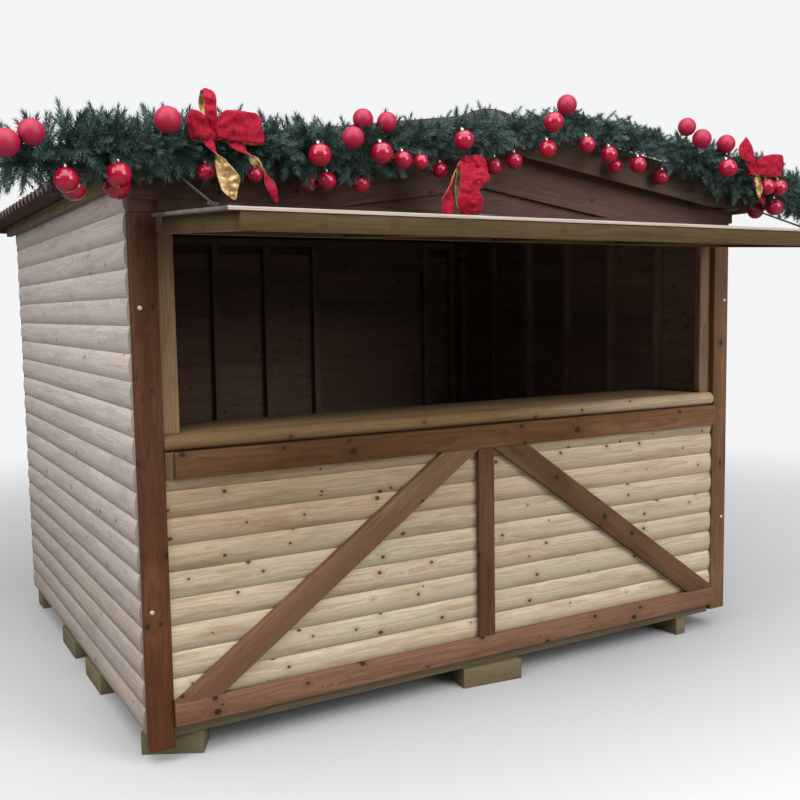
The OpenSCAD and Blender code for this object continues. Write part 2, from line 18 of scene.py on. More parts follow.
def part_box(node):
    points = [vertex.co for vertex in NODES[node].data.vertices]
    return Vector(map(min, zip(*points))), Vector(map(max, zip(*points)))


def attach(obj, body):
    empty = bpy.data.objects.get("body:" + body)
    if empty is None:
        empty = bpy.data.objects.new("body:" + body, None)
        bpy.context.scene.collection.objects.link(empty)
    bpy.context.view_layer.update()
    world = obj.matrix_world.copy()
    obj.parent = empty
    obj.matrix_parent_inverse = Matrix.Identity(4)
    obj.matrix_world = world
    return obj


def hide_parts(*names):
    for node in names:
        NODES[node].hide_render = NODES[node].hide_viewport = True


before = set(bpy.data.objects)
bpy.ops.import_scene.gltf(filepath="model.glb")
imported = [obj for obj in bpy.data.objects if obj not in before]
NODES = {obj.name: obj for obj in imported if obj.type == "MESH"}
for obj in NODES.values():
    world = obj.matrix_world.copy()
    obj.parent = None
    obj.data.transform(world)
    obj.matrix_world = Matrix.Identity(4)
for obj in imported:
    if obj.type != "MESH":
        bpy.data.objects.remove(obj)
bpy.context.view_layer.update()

# %% [markdown]
# ## Camera
#
# The photograph was solved for the place and angles of its camera from the stall's own
# straight edges. A camera can be turned by Euler angles, but here the angles become three
# axes, because that keeps the small roll about the view line apart from yaw and pitch.

# %% Camera at the photograph's place
CAMERA_AT = (-2.4068, -4.6851, 1.6713)
YAW, PITCH, ROLL = 29.82, 5.32, -0.927
LENS, SENSOR_WIDTH = 43.92, 36


def link_new(name, data):
    """A new object in the scene."""
    made = bpy.data.objects.new(name, data)
    bpy.context.scene.collection.objects.link(made)
    return made


def aim(yaw, pitch, roll):
    """Rotation of a camera that looks `yaw` degrees from +Y towards +X and `pitch` degrees down."""
    yaw, pitch, roll = math.radians(yaw), math.radians(pitch), math.radians(roll)
    ahead = Vector((math.sin(yaw) * math.cos(pitch), math.cos(yaw) * math.cos(pitch), -math.sin(pitch)))
    right = Vector((math.cos(yaw), -math.sin(yaw), 0))
    up = right.cross(ahead)
    turned_right = right * math.cos(roll) + up * math.sin(roll)
    turned_up = up * math.cos(roll) - right * math.sin(roll)
    return Matrix((turned_right, turned_up, -ahead)).transposed().to_4x4()


camera = link_new("camera", bpy.data.cameras.new("camera"))
camera.data.sensor_width = SENSOR_WIDTH
camera.data.lens = LENS
camera.matrix_world = Matrix.Translation(CAMERA_AT) @ aim(YAW, PITCH, ROLL)
bpy.context.scene.camera = camera
print("camera at", CAMERA_AT, "with a lens of", LENS, "mm")

# %% [markdown]
# ## A short way to write materials
#
# Every finish here is made of nodes. They could be wired by hand in the editor. `add` makes
# one node, sets it and wires it in one line instead, so that a material reads from top to
# bottom like a recipe.

# %% Node helpers
def add(tree, kind, sockets=None, **settings):
    """One shader node: settings are its properties, sockets its inputs as values or links."""
    node = tree.nodes.new("ShaderNode" + kind)
    for key, value in settings.items():
        setattr(node, key, value)
    for key, value in (sockets or {}).items():
        if isinstance(value, bpy.types.NodeSocket):
            tree.links.new(value, node.inputs[key])
        elif isinstance(value, tuple) and len(value) == 3 and node.inputs[key].type == "RGBA":
            node.inputs[key].default_value = (*value, 1)
        else:
            node.inputs[key].default_value = value
    return node


def calc(tree, operation, *values):
    """The value of one sum, with numbers or links as its terms."""
    return add(tree, "Math", dict(enumerate(values)), operation=operation).outputs[0]


def vector(tree, operation, *values):
    """The vector of one sum of vectors."""
    return add(tree, "VectorMath", dict(enumerate(values)), operation=operation).outputs[0]


def fade(tree, value, low, high, to_low=0.0, to_high=1.0):
    """A smooth step from to_low, where the value is at or under low, to to_high."""
    sockets = {"Value": value, "From Min": low, "From Max": high, "To Min": to_low, "To Max": to_high}
    return add(tree, "MapRange", sockets, interpolation_type="SMOOTHSTEP").outputs[0]


def blend(tree, share, first, second, kind="MIX"):
    """Two colours mixed by a share."""
    mix = add(tree, "Mix", data_type="RGBA", blend_type=kind)
    for socket, value in ((mix.inputs[0], share), (mix.inputs[6], first), (mix.inputs[7], second)):
        if isinstance(value, bpy.types.NodeSocket):
            tree.links.new(value, socket)
        elif socket.type == "RGBA":
            socket.default_value = (*value, 1)
        else:
            socket.default_value = value
    return mix.outputs[2]


# %% Material helpers
def new_finish(name):
    """An empty material and its tree."""
    print("finish:", name)
    made = bpy.data.materials.new(name)
    made.use_nodes = True
    made.node_tree.nodes.clear()
    return made, made.node_tree


def here(tree):
    """The place of a point, in metres."""
    return add(tree, "TexCoord").outputs["Object"]


def attribute(tree, name, output="Fac"):
    """A value that the mesh carries."""
    return add(tree, "Attribute", attribute_name=name).outputs[output]


def even_noise(tree, scale, detail, roughness=0.5):
    """Noise of the same size every way."""
    sockets = {"Vector": here(tree), "Scale": scale, "Detail": detail, "Roughness": roughness}
    return add(tree, "TexNoise", sockets).outputs["Fac"]


def surface(tree, colour, roughness, normal=None, **sockets):
    """The Principled shader that ends a material."""
    inputs = {"Base Color": colour, "Roughness": roughness}
    if normal is not None:
        inputs["Normal"] = normal
    inputs.update({key.replace("_", " "): value for key, value in sockets.items()})
    shader = add(tree, "BsdfPrincipled", inputs)
    add(tree, "OutputMaterial", {"Surface": shader.outputs[0]})


# %% [markdown]
# ## Studio
#
# An overcast sky gives broad light from above, and dark ground throws little of it back,
# which is what gives round boards their bright tops and dark feet. A sky texture could light
# the stall, but lamps are easier to place. A wide lamp over the front stands for the sky, two
# weaker ones shape the side and the front, and the world fills the shadows. The camera alone
# sees the world as near white, so the background adds no light.

# %% Lamps and world
BACKGROUND = (0.90, 0.91, 0.92)
FILL = (0.93, 0.96, 1.0)
FILL_STRENGTH = 0.32


def lamp(name, place, target, size, power):
    """A square soft lamp that points at a target."""
    made = link_new(name, bpy.data.lights.new(name, "AREA"))
    made.data.size = size
    made.data.energy = power
    made.location = place
    made.rotation_euler = (Vector(target) - Vector(place)).to_track_quat("-Z", "Y").to_euler()


lamp("sky_lamp", (-1.0, -4.0, 8.0), (0, -1.0, 0), 10, 1000)
lamp("side_lamp", (-8.0, -2.5, 5.5), (-1.0, 0, 1.0), 5, 360)
lamp("front_lamp", (3.5, -9.0, 4.5), (0.5, -1.0, 0.8), 5, 400)

world = bpy.data.worlds.new("studio")
bpy.context.scene.world = world
world.use_nodes = True
tree = world.node_tree
tree.nodes.clear()
seen = add(tree, "LightPath").outputs["Is Camera Ray"]
filling = add(tree, "Background", {"Color": FILL, "Strength": FILL_STRENGTH})
shown = add(tree, "Background", {"Color": BACKGROUND})
mixed = add(tree, "MixShader", {0: seen, 1: filling.outputs[0], 2: shown.outputs[0]})
add(tree, "OutputWorld", {"Surface": mixed.outputs[0]})
bpy.context.scene.view_settings.view_transform = "Standard"
print("lamps:", len(bpy.data.lights))

# %% [markdown]
# ## Floor
#
# The stall stands on a plain pale studio floor, which isn't part of the object. A pale floor
# would light the stall from below, which dark ground doesn't. So the camera sees it pale,
# fading into the background's colour with distance, while for bounced light it is dark.

# %% Studio floor
FLOOR_SEEN = (0.60, 0.60, 0.60)
FLOOR_BOUNCE = (0.26, 0.26, 0.25)
FLOOR_REACH = 60
FADE_FROM, FADE_TO = 2.5, 8.0
floor_finish, tree = new_finish("studio_floor")
seen = add(tree, "LightPath").outputs["Is Camera Ray"]
near = add(tree, "BsdfDiffuse", {"Color": blend(tree, seen, FLOOR_BOUNCE, FLOOR_SEEN)})
far = add(tree, "Emission", {"Color": BACKGROUND, "Strength": 1.0})
away = add(tree, "VectorMath", {0: here(tree)}, operation="LENGTH").outputs["Value"]
share = calc(tree, "MULTIPLY", fade(tree, away, FADE_FROM, FADE_TO), seen)
shown = add(tree, "MixShader", {0: share, 1: near.outputs[0], 2: far.outputs[0]})
add(tree, "OutputMaterial", {"Surface": shown.outputs[0]})

bm = bmesh.new()
bmesh.ops.create_grid(bm, x_segments=1, y_segments=1, size=FLOOR_REACH)
mesh = bpy.data.meshes.new("studio_floor")
bm.to_mesh(mesh)
bm.free()
mesh.materials.append(floor_finish)
link_new("studio_floor", mesh)
print("floor reaches", FLOOR_REACH, "m each way")

# %% [markdown]
# ## Timber
#
# Sawn softwood shows growth rings as lines along the board, knots where the branches were,
# fine pores, and a tone that differs from board to board. A wood image would need a
# photograph and a layout for each board. Here each timber carries a `grain` attribute, its
# metres along, across and through, and nodes grow the wood from that. The rings are true
# rings round a pith line that lies beside the board, so the faces get long flames and the
# ends get arcs, as on a real plank.

# %% Knots in the wood
KNOT_CELL = (0.30, 0.070, 0.5)
KNOT_SHAPE = (0.24, 0.070, 0.0)


def noisy(tree, where, stretch, detail=4.0, roughness=0.6):
    """Noise over a vector that is stretched first."""
    sockets = {"Vector": vector(tree, "MULTIPLY", where, stretch), "Scale": 1.0, "Detail": detail,
               "Roughness": roughness}
    return add(tree, "TexNoise", sockets)


def knot_pattern(tree, grain, knots, knot_size):
    """The cores of knots and the halos round them, with at most one knot in a long cell."""
    scaled = vector(tree, "DIVIDE", grain, KNOT_CELL)
    cells = add(tree, "TexVoronoi", {"Vector": scaled, "Scale": 1.0, "Randomness": 0.8})
    apart = vector(tree, "SUBTRACT", scaled, cells.outputs["Position"])
    apart = vector(tree, "MULTIPLY", apart, KNOT_SHAPE)
    distance = add(tree, "VectorMath", {0: apart}, operation="LENGTH").outputs["Value"]
    draw = add(tree, "SeparateColor", {0: cells.outputs["Color"]})
    there = calc(tree, "LESS_THAN", draw.outputs[0], knots)
    knot_r = calc(tree, "MULTIPLY_ADD", draw.outputs[1], knot_size, 0.6 * knot_size)
    reach = calc(tree, "DIVIDE", distance, knot_r)
    core = calc(tree, "MULTIPLY", there, fade(tree, reach, 0.65, 1.15, 1, 0))
    halo = calc(tree, "MULTIPLY", there, fade(tree, reach, 1.0, 4.5, 1, 0))
    return core, halo


# %% Growth rings
RING_GAP = 0.006
WAVE_GAP = 0.314    # metres between the rings of a Wave texture whose scale is 1
WANDER = 0.030      # how far the rings stray along a board
KNOT_PUSH = 0.010   # how far a knot pushes them aside


def ring_pattern(tree, grain, halo):
    """The dark late wood of the rings, which wander and bend round the knots."""
    drift = noisy(tree, grain, (1.3, 9, 9), 3.0, 0.55).outputs["Color"]
    wander = add(tree, "VectorMath", {0: drift, "Scale": WANDER}, operation="SCALE").outputs[0]
    aside = calc(tree, "MULTIPLY", halo, KNOT_PUSH)
    aside = add(tree, "CombineXYZ", {1: aside, 2: aside}).outputs[0]
    bent = vector(tree, "ADD", vector(tree, "ADD", grain, wander), aside)
    sockets = {"Vector": bent, "Scale": WAVE_GAP / RING_GAP, "Distortion": 1.2, "Detail": 2.0,
               "Detail Scale": 0.6}
    ring = add(tree, "TexWave", sockets, wave_type="RINGS", rings_direction="X", wave_profile="SAW")
    return fade(tree, ring.outputs["Fac"], 0.30, 1.0)


# %% [markdown]
# ## Colour and tone of a board
#
# Boards of one wall come from different trees, and each face gets its own rain and dirt. One
# colour for all would look like plastic. So each board draws its own tone, loglap gets painted
# shade under its laps and a painted highlight on its crests, and a finish can be tinted over a
# range of places, such as darker towards the bottom. Some of these tints are painted light and
# shade.

# %% Tone of a board and tints by place
def board_level(tree, own, tone, pores, clouds, lap_shading):
    """How light a board is: its own draw, its pores and, on loglap, painted shade and highlight on its lap.
    """
    level = calc(tree, "FRACT", calc(tree, "MULTIPLY", own, 7.31))
    level = calc(tree, "MULTIPLY_ADD", level, 2 * tone, 1 - tone)
    level = calc(tree, "MULTIPLY", level, fade(tree, pores, 0.30, 0.60, 0.86, 1.05))
    if lap_shading:
        lap = attribute(tree, "lap")
        # Painted shade at the foot of each loglap board, broken up by clouds
        lap_shade = calc(tree, "MULTIPLY_ADD", clouds, 0.5, lap)
        level = calc(tree, "MULTIPLY", level, fade(tree, lap_shade, 0.20, 0.72, 0.76, 1.0))
        # Painted highlight along the top of each loglap board
        level = calc(tree, "MULTIPLY", level, fade(tree, lap, 0.72, 0.98, 1.0, 1.12))
    return add(tree, "CombineColor", {0: level, 1: level, 2: level}).outputs[0]


def tinted(tree, colour, tints):
    """Multiplies in each tint over the ranges of X, Y or Z that follow it."""
    place = add(tree, "SeparateXYZ", {0: here(tree)})
    for tint, *ranges in tints:
        share = 1.0
        for axis, start, end in ranges:
            share = calc(tree, "MULTIPLY", share, fade(tree, place.outputs[axis], start, end))
        colour = blend(tree, share, colour, tint, "MULTIPLY")
    return colour


# %% One recipe for every timber
WORN_GREY = (0.475, 0.42, 0.395)
WHITE = (1, 1, 1)


def timber(name, pale, other, shade=(0.66, 0.58, 0.50), knot=(0.085, 0.038, 0.018), rings=0.55, knots=0.5,
           knot_size=0.006, tone=0.10, grey=0.0, lap_shading=False, roughness=0.75, tints=()):
    """Softwood: `pale` and `other` are its tones, and rings and streaks multiply them by `shade`.

    Each of `tints` is a colour to multiply by and the ranges of X, Y or Z over which it comes in.
    """
    made, tree = new_finish(name)
    grain = attribute(tree, "grain", "Vector")
    own = attribute(tree, "tone")
    core, halo = knot_pattern(tree, grain, knots, knot_size)
    late = ring_pattern(tree, grain, halo)
    pores = noisy(tree, grain, (14, 420, 420), 4.0, 0.65).outputs["Fac"]
    streaks = noisy(tree, grain, (2.6, 24, 24), 5.0, 0.62).outputs["Fac"]
    clouds = noisy(tree, grain, (1.1, 6, 6), 5.0, 0.6).outputs["Fac"]
    # Two tones that meet in clouds, then grey weathering and tints
    share = calc(tree, "ADD", own, fade(tree, clouds, 0.3, 0.7, -0.3, 0.3))
    colour = blend(tree, calc(tree, "MINIMUM", calc(tree, "MAXIMUM", share, 0.0), 1.0), pale, other)
    if grey:
        worn = noisy(tree, grain, (0.9, 7, 7), 6.0, 0.7).outputs["Fac"]
        colour = blend(tree, fade(tree, worn, 0.35, 0.62, 0.2 * grey, grey), colour, WORN_GREY)
    if tints:
        colour = tinted(tree, colour, tints)
    # Rings, streaks and wood round knots, then the board's tone with its painted lap shade, then knots
    streaked = fade(tree, streaks, 0.46, 0.70, 0, 0.85)
    lines = calc(tree, "MAXIMUM", calc(tree, "MULTIPLY", late, rings), streaked)
    lines = calc(tree, "MAXIMUM", lines, calc(tree, "MULTIPLY", halo, 0.6))
    colour = blend(tree, 1.0, colour, blend(tree, lines, WHITE, shade), "MULTIPLY")
    colour = blend(tree, 1.0, colour, board_level(tree, own, tone, pores, clouds, lap_shading), "MULTIPLY")
    colour = blend(tree, calc(tree, "MULTIPLY", core, 0.9), colour, knot)
    # Raised late wood and pores, with the knots sunk
    height = calc(tree, "MULTIPLY_ADD", late, 0.35, calc(tree, "MULTIPLY", pores, 0.65))
    height = calc(tree, "MULTIPLY_ADD", core, -0.25, height)
    bump = add(tree, "Bump", {"Height": height, "Strength": 0.35, "Distance": 0.0012}).outputs[0]
    rough = fade(tree, pores, 0.3, 0.7, roughness + 0.08, roughness - 0.06)
    surface(tree, colour, rough, bump, Specular_IOR_Level=0.2)
    return made


# %% [markdown]
# ## The stall's timber finishes
#
# The walls are pressure-treated boards, paler and yellower at the front and greyer at the
# side. Posts, rails and braces have a brown stain, gables and batten a dark one, and counter
# and hatch are bare timber in different stages of weathering. Over that, some finishes carry
# painted light and shade, such as the paler right ends of nosing and top rail and the lit
# underside of the hatch. Each finish is the one recipe with its own colours, so that they look
# like timbers of one yard.

# %% Timber finishes
# The front's tint is painted shade: its boards darken upwards and to the left, under the counter.
FRONT_BOARD = timber("front_board", (0.64, 0.50, 0.36), (0.53, 0.46, 0.33), shade=(0.66, 0.57, 0.48),
                     knot=(0.06, 0.026, 0.013), knots=0.6, knot_size=0.0062, tone=0.07, lap_shading=True,
                     tints=[((0.68, 0.62, 0.54), ("Z", 0.55, 1.0), ("X", 1.0, -0.9))])
# These boards are tinted darker towards the bottom of the wall.
SIDE_BOARD = timber("side_board", (0.62, 0.535, 0.475), (0.535, 0.48, 0.43), shade=(0.74, 0.70, 0.68),
                    knots=0.25, grey=0.6, tone=0.06, lap_shading=True,
                    tints=[((0.74, 0.72, 0.69), ("Z", 1.3, 0.3))])
STAIN = {"shade": (0.60, 0.54, 0.50), "knot": (0.022, 0.012, 0.009), "rings": 0.6, "knot_size": 0.009,
         "tone": 0.05, "roughness": 0.7}
# The left post is tinted paler towards its foot, so its top reads darker under the counter: painted shade.
BROWN = timber("brown_stain", (0.102, 0.038, 0.016), (0.240, 0.118, 0.074), **STAIN,
               tints=[((1.30, 1.18, 1.0), ("Z", 1.1, 0.4), ("X", -1.38, -1.42)),
                      ((1.0, 1.14, 0.95), ("X", 1.38, 1.42))])
BROWN_BRACE = timber("brown_brace", (0.106, 0.050, 0.021), (0.240, 0.128, 0.074), **STAIN,
                     tints=[((1.02, 1.14, 1.04), ("Z", 0.7, 1.0))])
# The top rail is tinted paler and bluer towards its right end: painted light.
BROWN_RAIL = timber("brown_rail", (0.096, 0.039, 0.011), (0.220, 0.110, 0.055), **STAIN,
                    tints=[((1.85, 2.0, 2.6), ("X", -1.2, 1.4))])
DARK = timber("dark_stain", (0.108, 0.059, 0.045), (0.142, 0.082, 0.063), shade=(0.60, 0.55, 0.52),
              knot=(0.015, 0.01, 0.01), knots=0.4)
BARGE = timber("barge_stain", (0.125, 0.082, 0.055), (0.10, 0.070, 0.050), shade=(0.62, 0.56, 0.50),
               knot=(0.03, 0.02, 0.015), knots=0.45)
COUNTER = timber("counter_wood", (0.34, 0.23, 0.12), (0.28, 0.20, 0.11), knots=0.5, tone=0.06)
# The nosing is tinted paler and bluer towards its right end: painted light.
NOSING = timber("nosing_wood", (0.225, 0.138, 0.062), (0.19, 0.125, 0.062), knots=0.5, tone=0.06,
                tints=[((2.4, 2.9, 4.4), ("X", 0.0, 1.1))])
# Painted shade: the right jamb is tinted darker and bluer, and the jamb timber below the counter much
# darker.
JAMB = timber("jamb_wood", (0.33, 0.205, 0.108), (0.28, 0.18, 0.10), knots=0.4, tone=0.06,
              tints=[((0.78, 0.78, 0.92), ("X", -0.5, 0.5)), ((0.46, 0.48, 0.42), ("Z", 1.17, 1.16))])
HATCH = timber("hatch_wood", (0.102, 0.065, 0.027), (0.083, 0.059, 0.027),
               shade=(0.62, 0.58, 0.52), knots=0.3)
# The hatch's underside is the same wood painted far paler and oranger: painted light.
HATCH_UNDER_LIT = timber("hatch_under_lit", (0.36, 0.20, 0.085), (0.30, 0.18, 0.08), knots=0.3)
HATCH_TOP = timber("hatch_top", (0.125, 0.10, 0.068), (0.11, 0.092, 0.065), grey=0.25)
# The front edges of the hatch boards are painted pale: a painted highlight.
HATCH_EDGE_LIT = timber("hatch_edge_lit", (0.56, 0.48, 0.42), (0.50, 0.44, 0.38), knots=0.0)
SAWN = timber("sawn_block", (0.21, 0.168, 0.099), (0.18, 0.16, 0.095), rings=0.7, knots=0.2, roughness=0.85)
FRAME = timber("frame_wood", (0.30, 0.205, 0.12), (0.26, 0.19, 0.12), knots=0.3)
# Painted shade: the inside timbers are about half as light as the same boards outside.
INSIDE_SHADED = timber("inside_shaded", (0.32, 0.20, 0.148), (0.25, 0.16, 0.12), knot=(0.05, 0.03, 0.02), knots=0.4)

# %% [markdown]
# ## From CAD solid to timber
#
# A CAD timber has knife edges and is a loose bag of triangles. It could be modelled again,
# but then its size might drift. So a copy is merged, its flat triangles are joined, its
# edges are eased as a planer leaves them, and each separate timber in it gets its own grain
# and tone. The CAD node itself is never touched.

# %% Grain for every timber in a mesh
def islands(bm):
    """The separate bodies of a mesh, as lists of vertices."""
    waiting = set(bm.verts)
    found = []
    for start in bm.verts:
        if start not in waiting:
            continue
        waiting.discard(start)
        group, queue = [], [start]
        while queue:
            vert = queue.pop()
            group.append(vert)
            for edge in vert.link_edges:
                other = edge.other_vert(vert)
                if other in waiting:
                    waiting.discard(other)
                    queue.append(other)
        found.append(group)
    return found


def grain_axes(group, along=None):
    """The ways along, across and through a timber; its longest edge runs along it."""
    # A dict keeps the order of its keys, so a choice among equal edges is the same in every run
    edges = dict.fromkeys(edge for vert in group for edge in vert.link_edges)
    faces = dict.fromkeys(face for vert in group for face in vert.link_faces)
    if along is None:
        longest = max(edges, key=lambda edge: round(edge.calc_length(), 5))
        along = longest.verts[1].co - longest.verts[0].co
    way = Vector(along).normalized()
    sides = [face for face in faces if abs(face.normal.dot(way)) < 0.3]
    broad = max(sides, key=lambda face: round(face.calc_area(), 6)).normal
    through = (broad - way * broad.dot(way)).normalized()
    return way, through.cross(way), through


def set_grain(bm, draw, along=None, tones=None):
    """Gives each timber its own stretch of trunk and tone; `tones` go from left to right."""
    grain = bm.verts.layers.float_vector.new("grain")
    tone = bm.verts.layers.float.new("tone")
    groups = sorted(islands(bm), key=lambda group: min(vert.co.x for vert in group))
    for number, group in enumerate(groups):
        way, across, through = grain_axes(group, along)
        centre = sum((vert.co for vert in group), Vector()) / len(group)
        shift = Vector((draw.uniform(0, 40), draw.uniform(-0.05, 0.05), draw.uniform(0.03, 0.10)))
        own = tones[number % len(tones)] if tones else draw.random()
        for vert in group:
            out = vert.co - centre
            vert[grain] = Vector((out.dot(way), out.dot(across), out.dot(through))) + shift
            vert[tone] = own


# %% A copy of a node, with its edges eased
SAME_PLACE = 1e-5
FLAT_ANGLE = 0.5


def cad_copy(node):
    """A clean mesh of a CAD node: doubles merged, flat faces joined."""
    bm = bmesh.new()
    bm.from_mesh(NODES[node].data)
    bmesh.ops.remove_doubles(bm, verts=bm.verts, dist=SAME_PLACE)
    bmesh.ops.dissolve_limit(bm, angle_limit=math.radians(FLAT_ANGLE), verts=bm.verts, edges=bm.edges)
    return bm


def ease(bm, width, segments=2, sharper=35):
    """Rounds the edges that turn more than `sharper` degrees."""
    edges = [edge for edge in bm.edges
             if len(edge.link_faces) == 2 and edge.calc_face_angle(0) > math.radians(sharper)]
    bmesh.ops.bevel(bm, geom=edges, offset=width, offset_type="OFFSET", segments=segments,
                    profile=0.5, affect="EDGES", material=-1, clamp_overlap=True)


def paint_facing(bm, way):
    """Gives the faces that look along `way` the second material."""
    for face in bm.faces:
        face.normal_update()
        if face.normal.dot(Vector(way)) > 0.7:
            face.material_index = 1


# %% A finished piece
def finish_piece(bm, name, materials, body="root", replaces=(), sharper=40):
    """Turns a bmesh into a shown piece that rides on a body and stands for CAD nodes."""
    mesh = bpy.data.meshes.new(name)
    bm.normal_update()
    bm.to_mesh(mesh)
    bm.free()
    for material in materials if isinstance(materials, list) else [materials]:
        mesh.materials.append(material)
    mesh.shade_smooth()
    mesh.set_sharp_from_angle(angle=math.radians(sharper))
    made = link_new(name, mesh)
    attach(made, body)
    if replaces:
        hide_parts(*replaces)
    return made


def dress(node, name, material, seed, body="root", width=0.002, tones=None, facing=None):
    """The usual way from a CAD timber to a finished one."""
    bm = cad_copy(node)
    set_grain(bm, random.Random(seed), tones=tones)
    ease(bm, width)
    if facing:
        paint_facing(bm, facing)
    finish_piece(bm, name, material, body, [node])


# %% [markdown]
# ## Framing that keeps its CAD shape
#
# Posts, rails, braces, blocks, bearers and studs are planed or sawn rectangular timbers, so
# their CAD solids are right and only want eased edges, grain and stain. Where the photograph
# shows one post paler than the other, its tone is given.

# %% Dressed timbers
TONES = {"front_posts": [0.0, 0.62], "back_posts": [0.2, 0.4], "bottom_rail": [0.95], "top_rail": [0.18],
         "mid_upright": [0.1], "left_brace": [0.75], "right_brace": [0.15], "counter": [0.3]}
DRESSED = [
    ("packing_blocks", "blocks", SAWN, "treated_timber", 0.003),
    ("floor_bearers", "bearers", SAWN, "treated_timber", 0.002),
    ("floor_deck", "deck", FRAME, "deck_board", 0.001),
    ("front_posts", "posts_front", BROWN, "brown_timber", 0.003),
    ("back_posts", "posts_back", BROWN, "brown_timber", 0.003),
    ("left_wall_frame", "studs_left", INSIDE_SHADED, "frame_timber", 0.002),
    ("right_wall_frame", "studs_right", INSIDE_SHADED, "frame_timber", 0.002),
    ("back_wall_frame", "studs_back", INSIDE_SHADED, "frame_timber", 0.002),
    ("front_panel_frame", "studs_front", FRAME, "frame_timber", 0.002),
    ("bottom_rail", "rail_bottom", BROWN, "brown_timber", 0.003),
    ("top_rail", "rail_top", BROWN_RAIL, "brown_timber", 0.003),
    ("mid_upright", "upright", BROWN, "brown_timber", 0.003),
    ("left_brace", "brace_left", BROWN_BRACE, "brown_timber", 0.003),
    ("right_brace", "brace_right", BROWN_BRACE, "brown_timber", 0.003),
    ("counter", "counter_board", COUNTER, "counter_timber", 0.002),
    ("jambs", "jamb_pair", JAMB, "counter_timber", 0.002),
    ("head_rail", "rail_head", INSIDE_SHADED, "frame_timber", 0.002),
    ("hinge_batten", "batten", DARK, "dark_timber", 0.002),
    ("front_gable", "gable_front", DARK, "dark_timber", 0.002),
    ("back_gable", "gable_back", DARK, "dark_timber", 0.002),
    ("front_rafters", "rafters_front", DARK, "dark_timber", 0.002),
    ("back_rafters", "rafters_back", DARK, "dark_timber", 0.002),
    ("purlins", "purlin_set", INSIDE_SHADED, "frame_timber", 0.002),
    ("eave_fascias", "fascias", SAWN, "treated_timber", 0.002),
    ("front_bargeboards", "barge_front", BARGE, "bargeboard", 0.002),
    ("back_bargeboards", "barge_back", BARGE, "bargeboard", 0.002),
]
for number, (node, name, material, slot, width) in enumerate(DRESSED):
    dress(node, name, material, 100 + number, width=width, tones=TONES.get(node))
# Faces of the hatch rails that look down get the painted light of the underside.
dress("hatch_frame", "hatch_rails", [HATCH, HATCH_UNDER_LIT], 141, "hatch", facing=(0, 0, -1))
print("dressed timbers:", len(DRESSED) + 1)

# %% [markdown]
# ## Boards on the hatch
#
# The hatch is boarded with narrow boards along its length, because narrow boards stay flatter
# in the rain than one wide panel. They could be drawn as lines by a material, but a real
# groove catches the light from every side. The CAD panel gives their outline, and each board
# is that panel cut along two planes. Eased edges leave a small groove at every joint.

# %% Hatch boards
HATCH_BOARDS = 8
HALF_JOINT = 0.0002


def add_mesh(bm, part):
    """Adds one bmesh to another and frees it."""
    mesh = bpy.data.meshes.new("part")
    part.to_mesh(mesh)
    part.free()
    bm.from_mesh(mesh)
    bpy.data.meshes.remove(mesh)


def whole(bm):
    """Everything in a bmesh, for a cut."""
    return bm.verts[:] + bm.edges[:] + bm.faces[:]


panel = cad_copy("hatch_boards")
upward = max(panel.faces, key=lambda face: face.calc_area() * face.normal.z).normal.copy()
slope = upward.cross(Vector((1, 0, 0))).normalized()
first = min(vert.co.dot(slope) for vert in panel.verts)
width = (max(vert.co.dot(slope) for vert in panel.verts) - first) / HATCH_BOARDS
bm = bmesh.new()
for number in range(HATCH_BOARDS):
    one = panel.copy()
    for joint, side in ((number, -1), (number + 1, 1)):
        if 0 < joint < HATCH_BOARDS:
            bmesh.ops.bisect_plane(one, geom=whole(one), plane_no=slope * side, clear_outer=True,
                                   plane_co=slope * (first + joint * width - side * HALF_JOINT))
            bmesh.ops.holes_fill(one, edges=[edge for edge in one.edges if edge.is_boundary])
    add_mesh(bm, one)
panel.free()
bmesh.ops.recalc_face_normals(bm, faces=bm.faces)
set_grain(bm, random.Random(142), along=(1, 0, 0))
ease(bm, 0.0015)
# Faces that look forward get the painted highlight of the front edges.
paint_facing(bm, (0, -1, 0))
finish_piece(bm, "hatch_top", [HATCH_TOP, HATCH_EDGE_LIT], "hatch", ["hatch_boards"])
print("hatch boards:", HATCH_BOARDS, "of", round(width, 3))

# %% [markdown]
# ## Round-nosed counter front
#
# A rounded nose spares sleeves and elbows. A wide bevel on a plank could make it, but it is
# a half circle in CAD already, so only its end edges are eased, and the curve is shaded
# smooth.

# %% Counter nosing
bm = cad_copy("counter_nosing")
set_grain(bm, random.Random(7), along=(1, 0, 0))
ease(bm, 0.002, sharper=60)
print("nosing faces:", len(bm.faces))
finish_piece(bm, "nosing", NOSING, replaces=["counter_nosing"])

# %% [markdown]
# ## Loglap boards
#
# Loglap boards have a round face and a rebate that tucks over the tongue of the board below.
# A plain box with a bump map would lose the round shadow lines and the scalloped corner. So
# each board is a prism of the true section, whose arc is a vertex spun about its centre.

# %% One loglap board
BOARD_COVER = 0.1012    # from one board's foot to the next one's
BOARD_T = 0.028
BOARD_ROUND = 0.010     # how far the round face stands out
GROOVE = 0.004          # height of the shadow groove, and its depth behind the round
GROOVE_BACK = 0.003
TONGUE_T = 0.010
TONGUE_H = 0.008
REBATE_D = 0.0104
REBATE_H = 0.0085
ARC_STEPS = 10


def moved(result):
    """The vertices among what an operator returns."""
    return [item for item in result["geom"] if isinstance(item, bmesh.types.BMVert)]


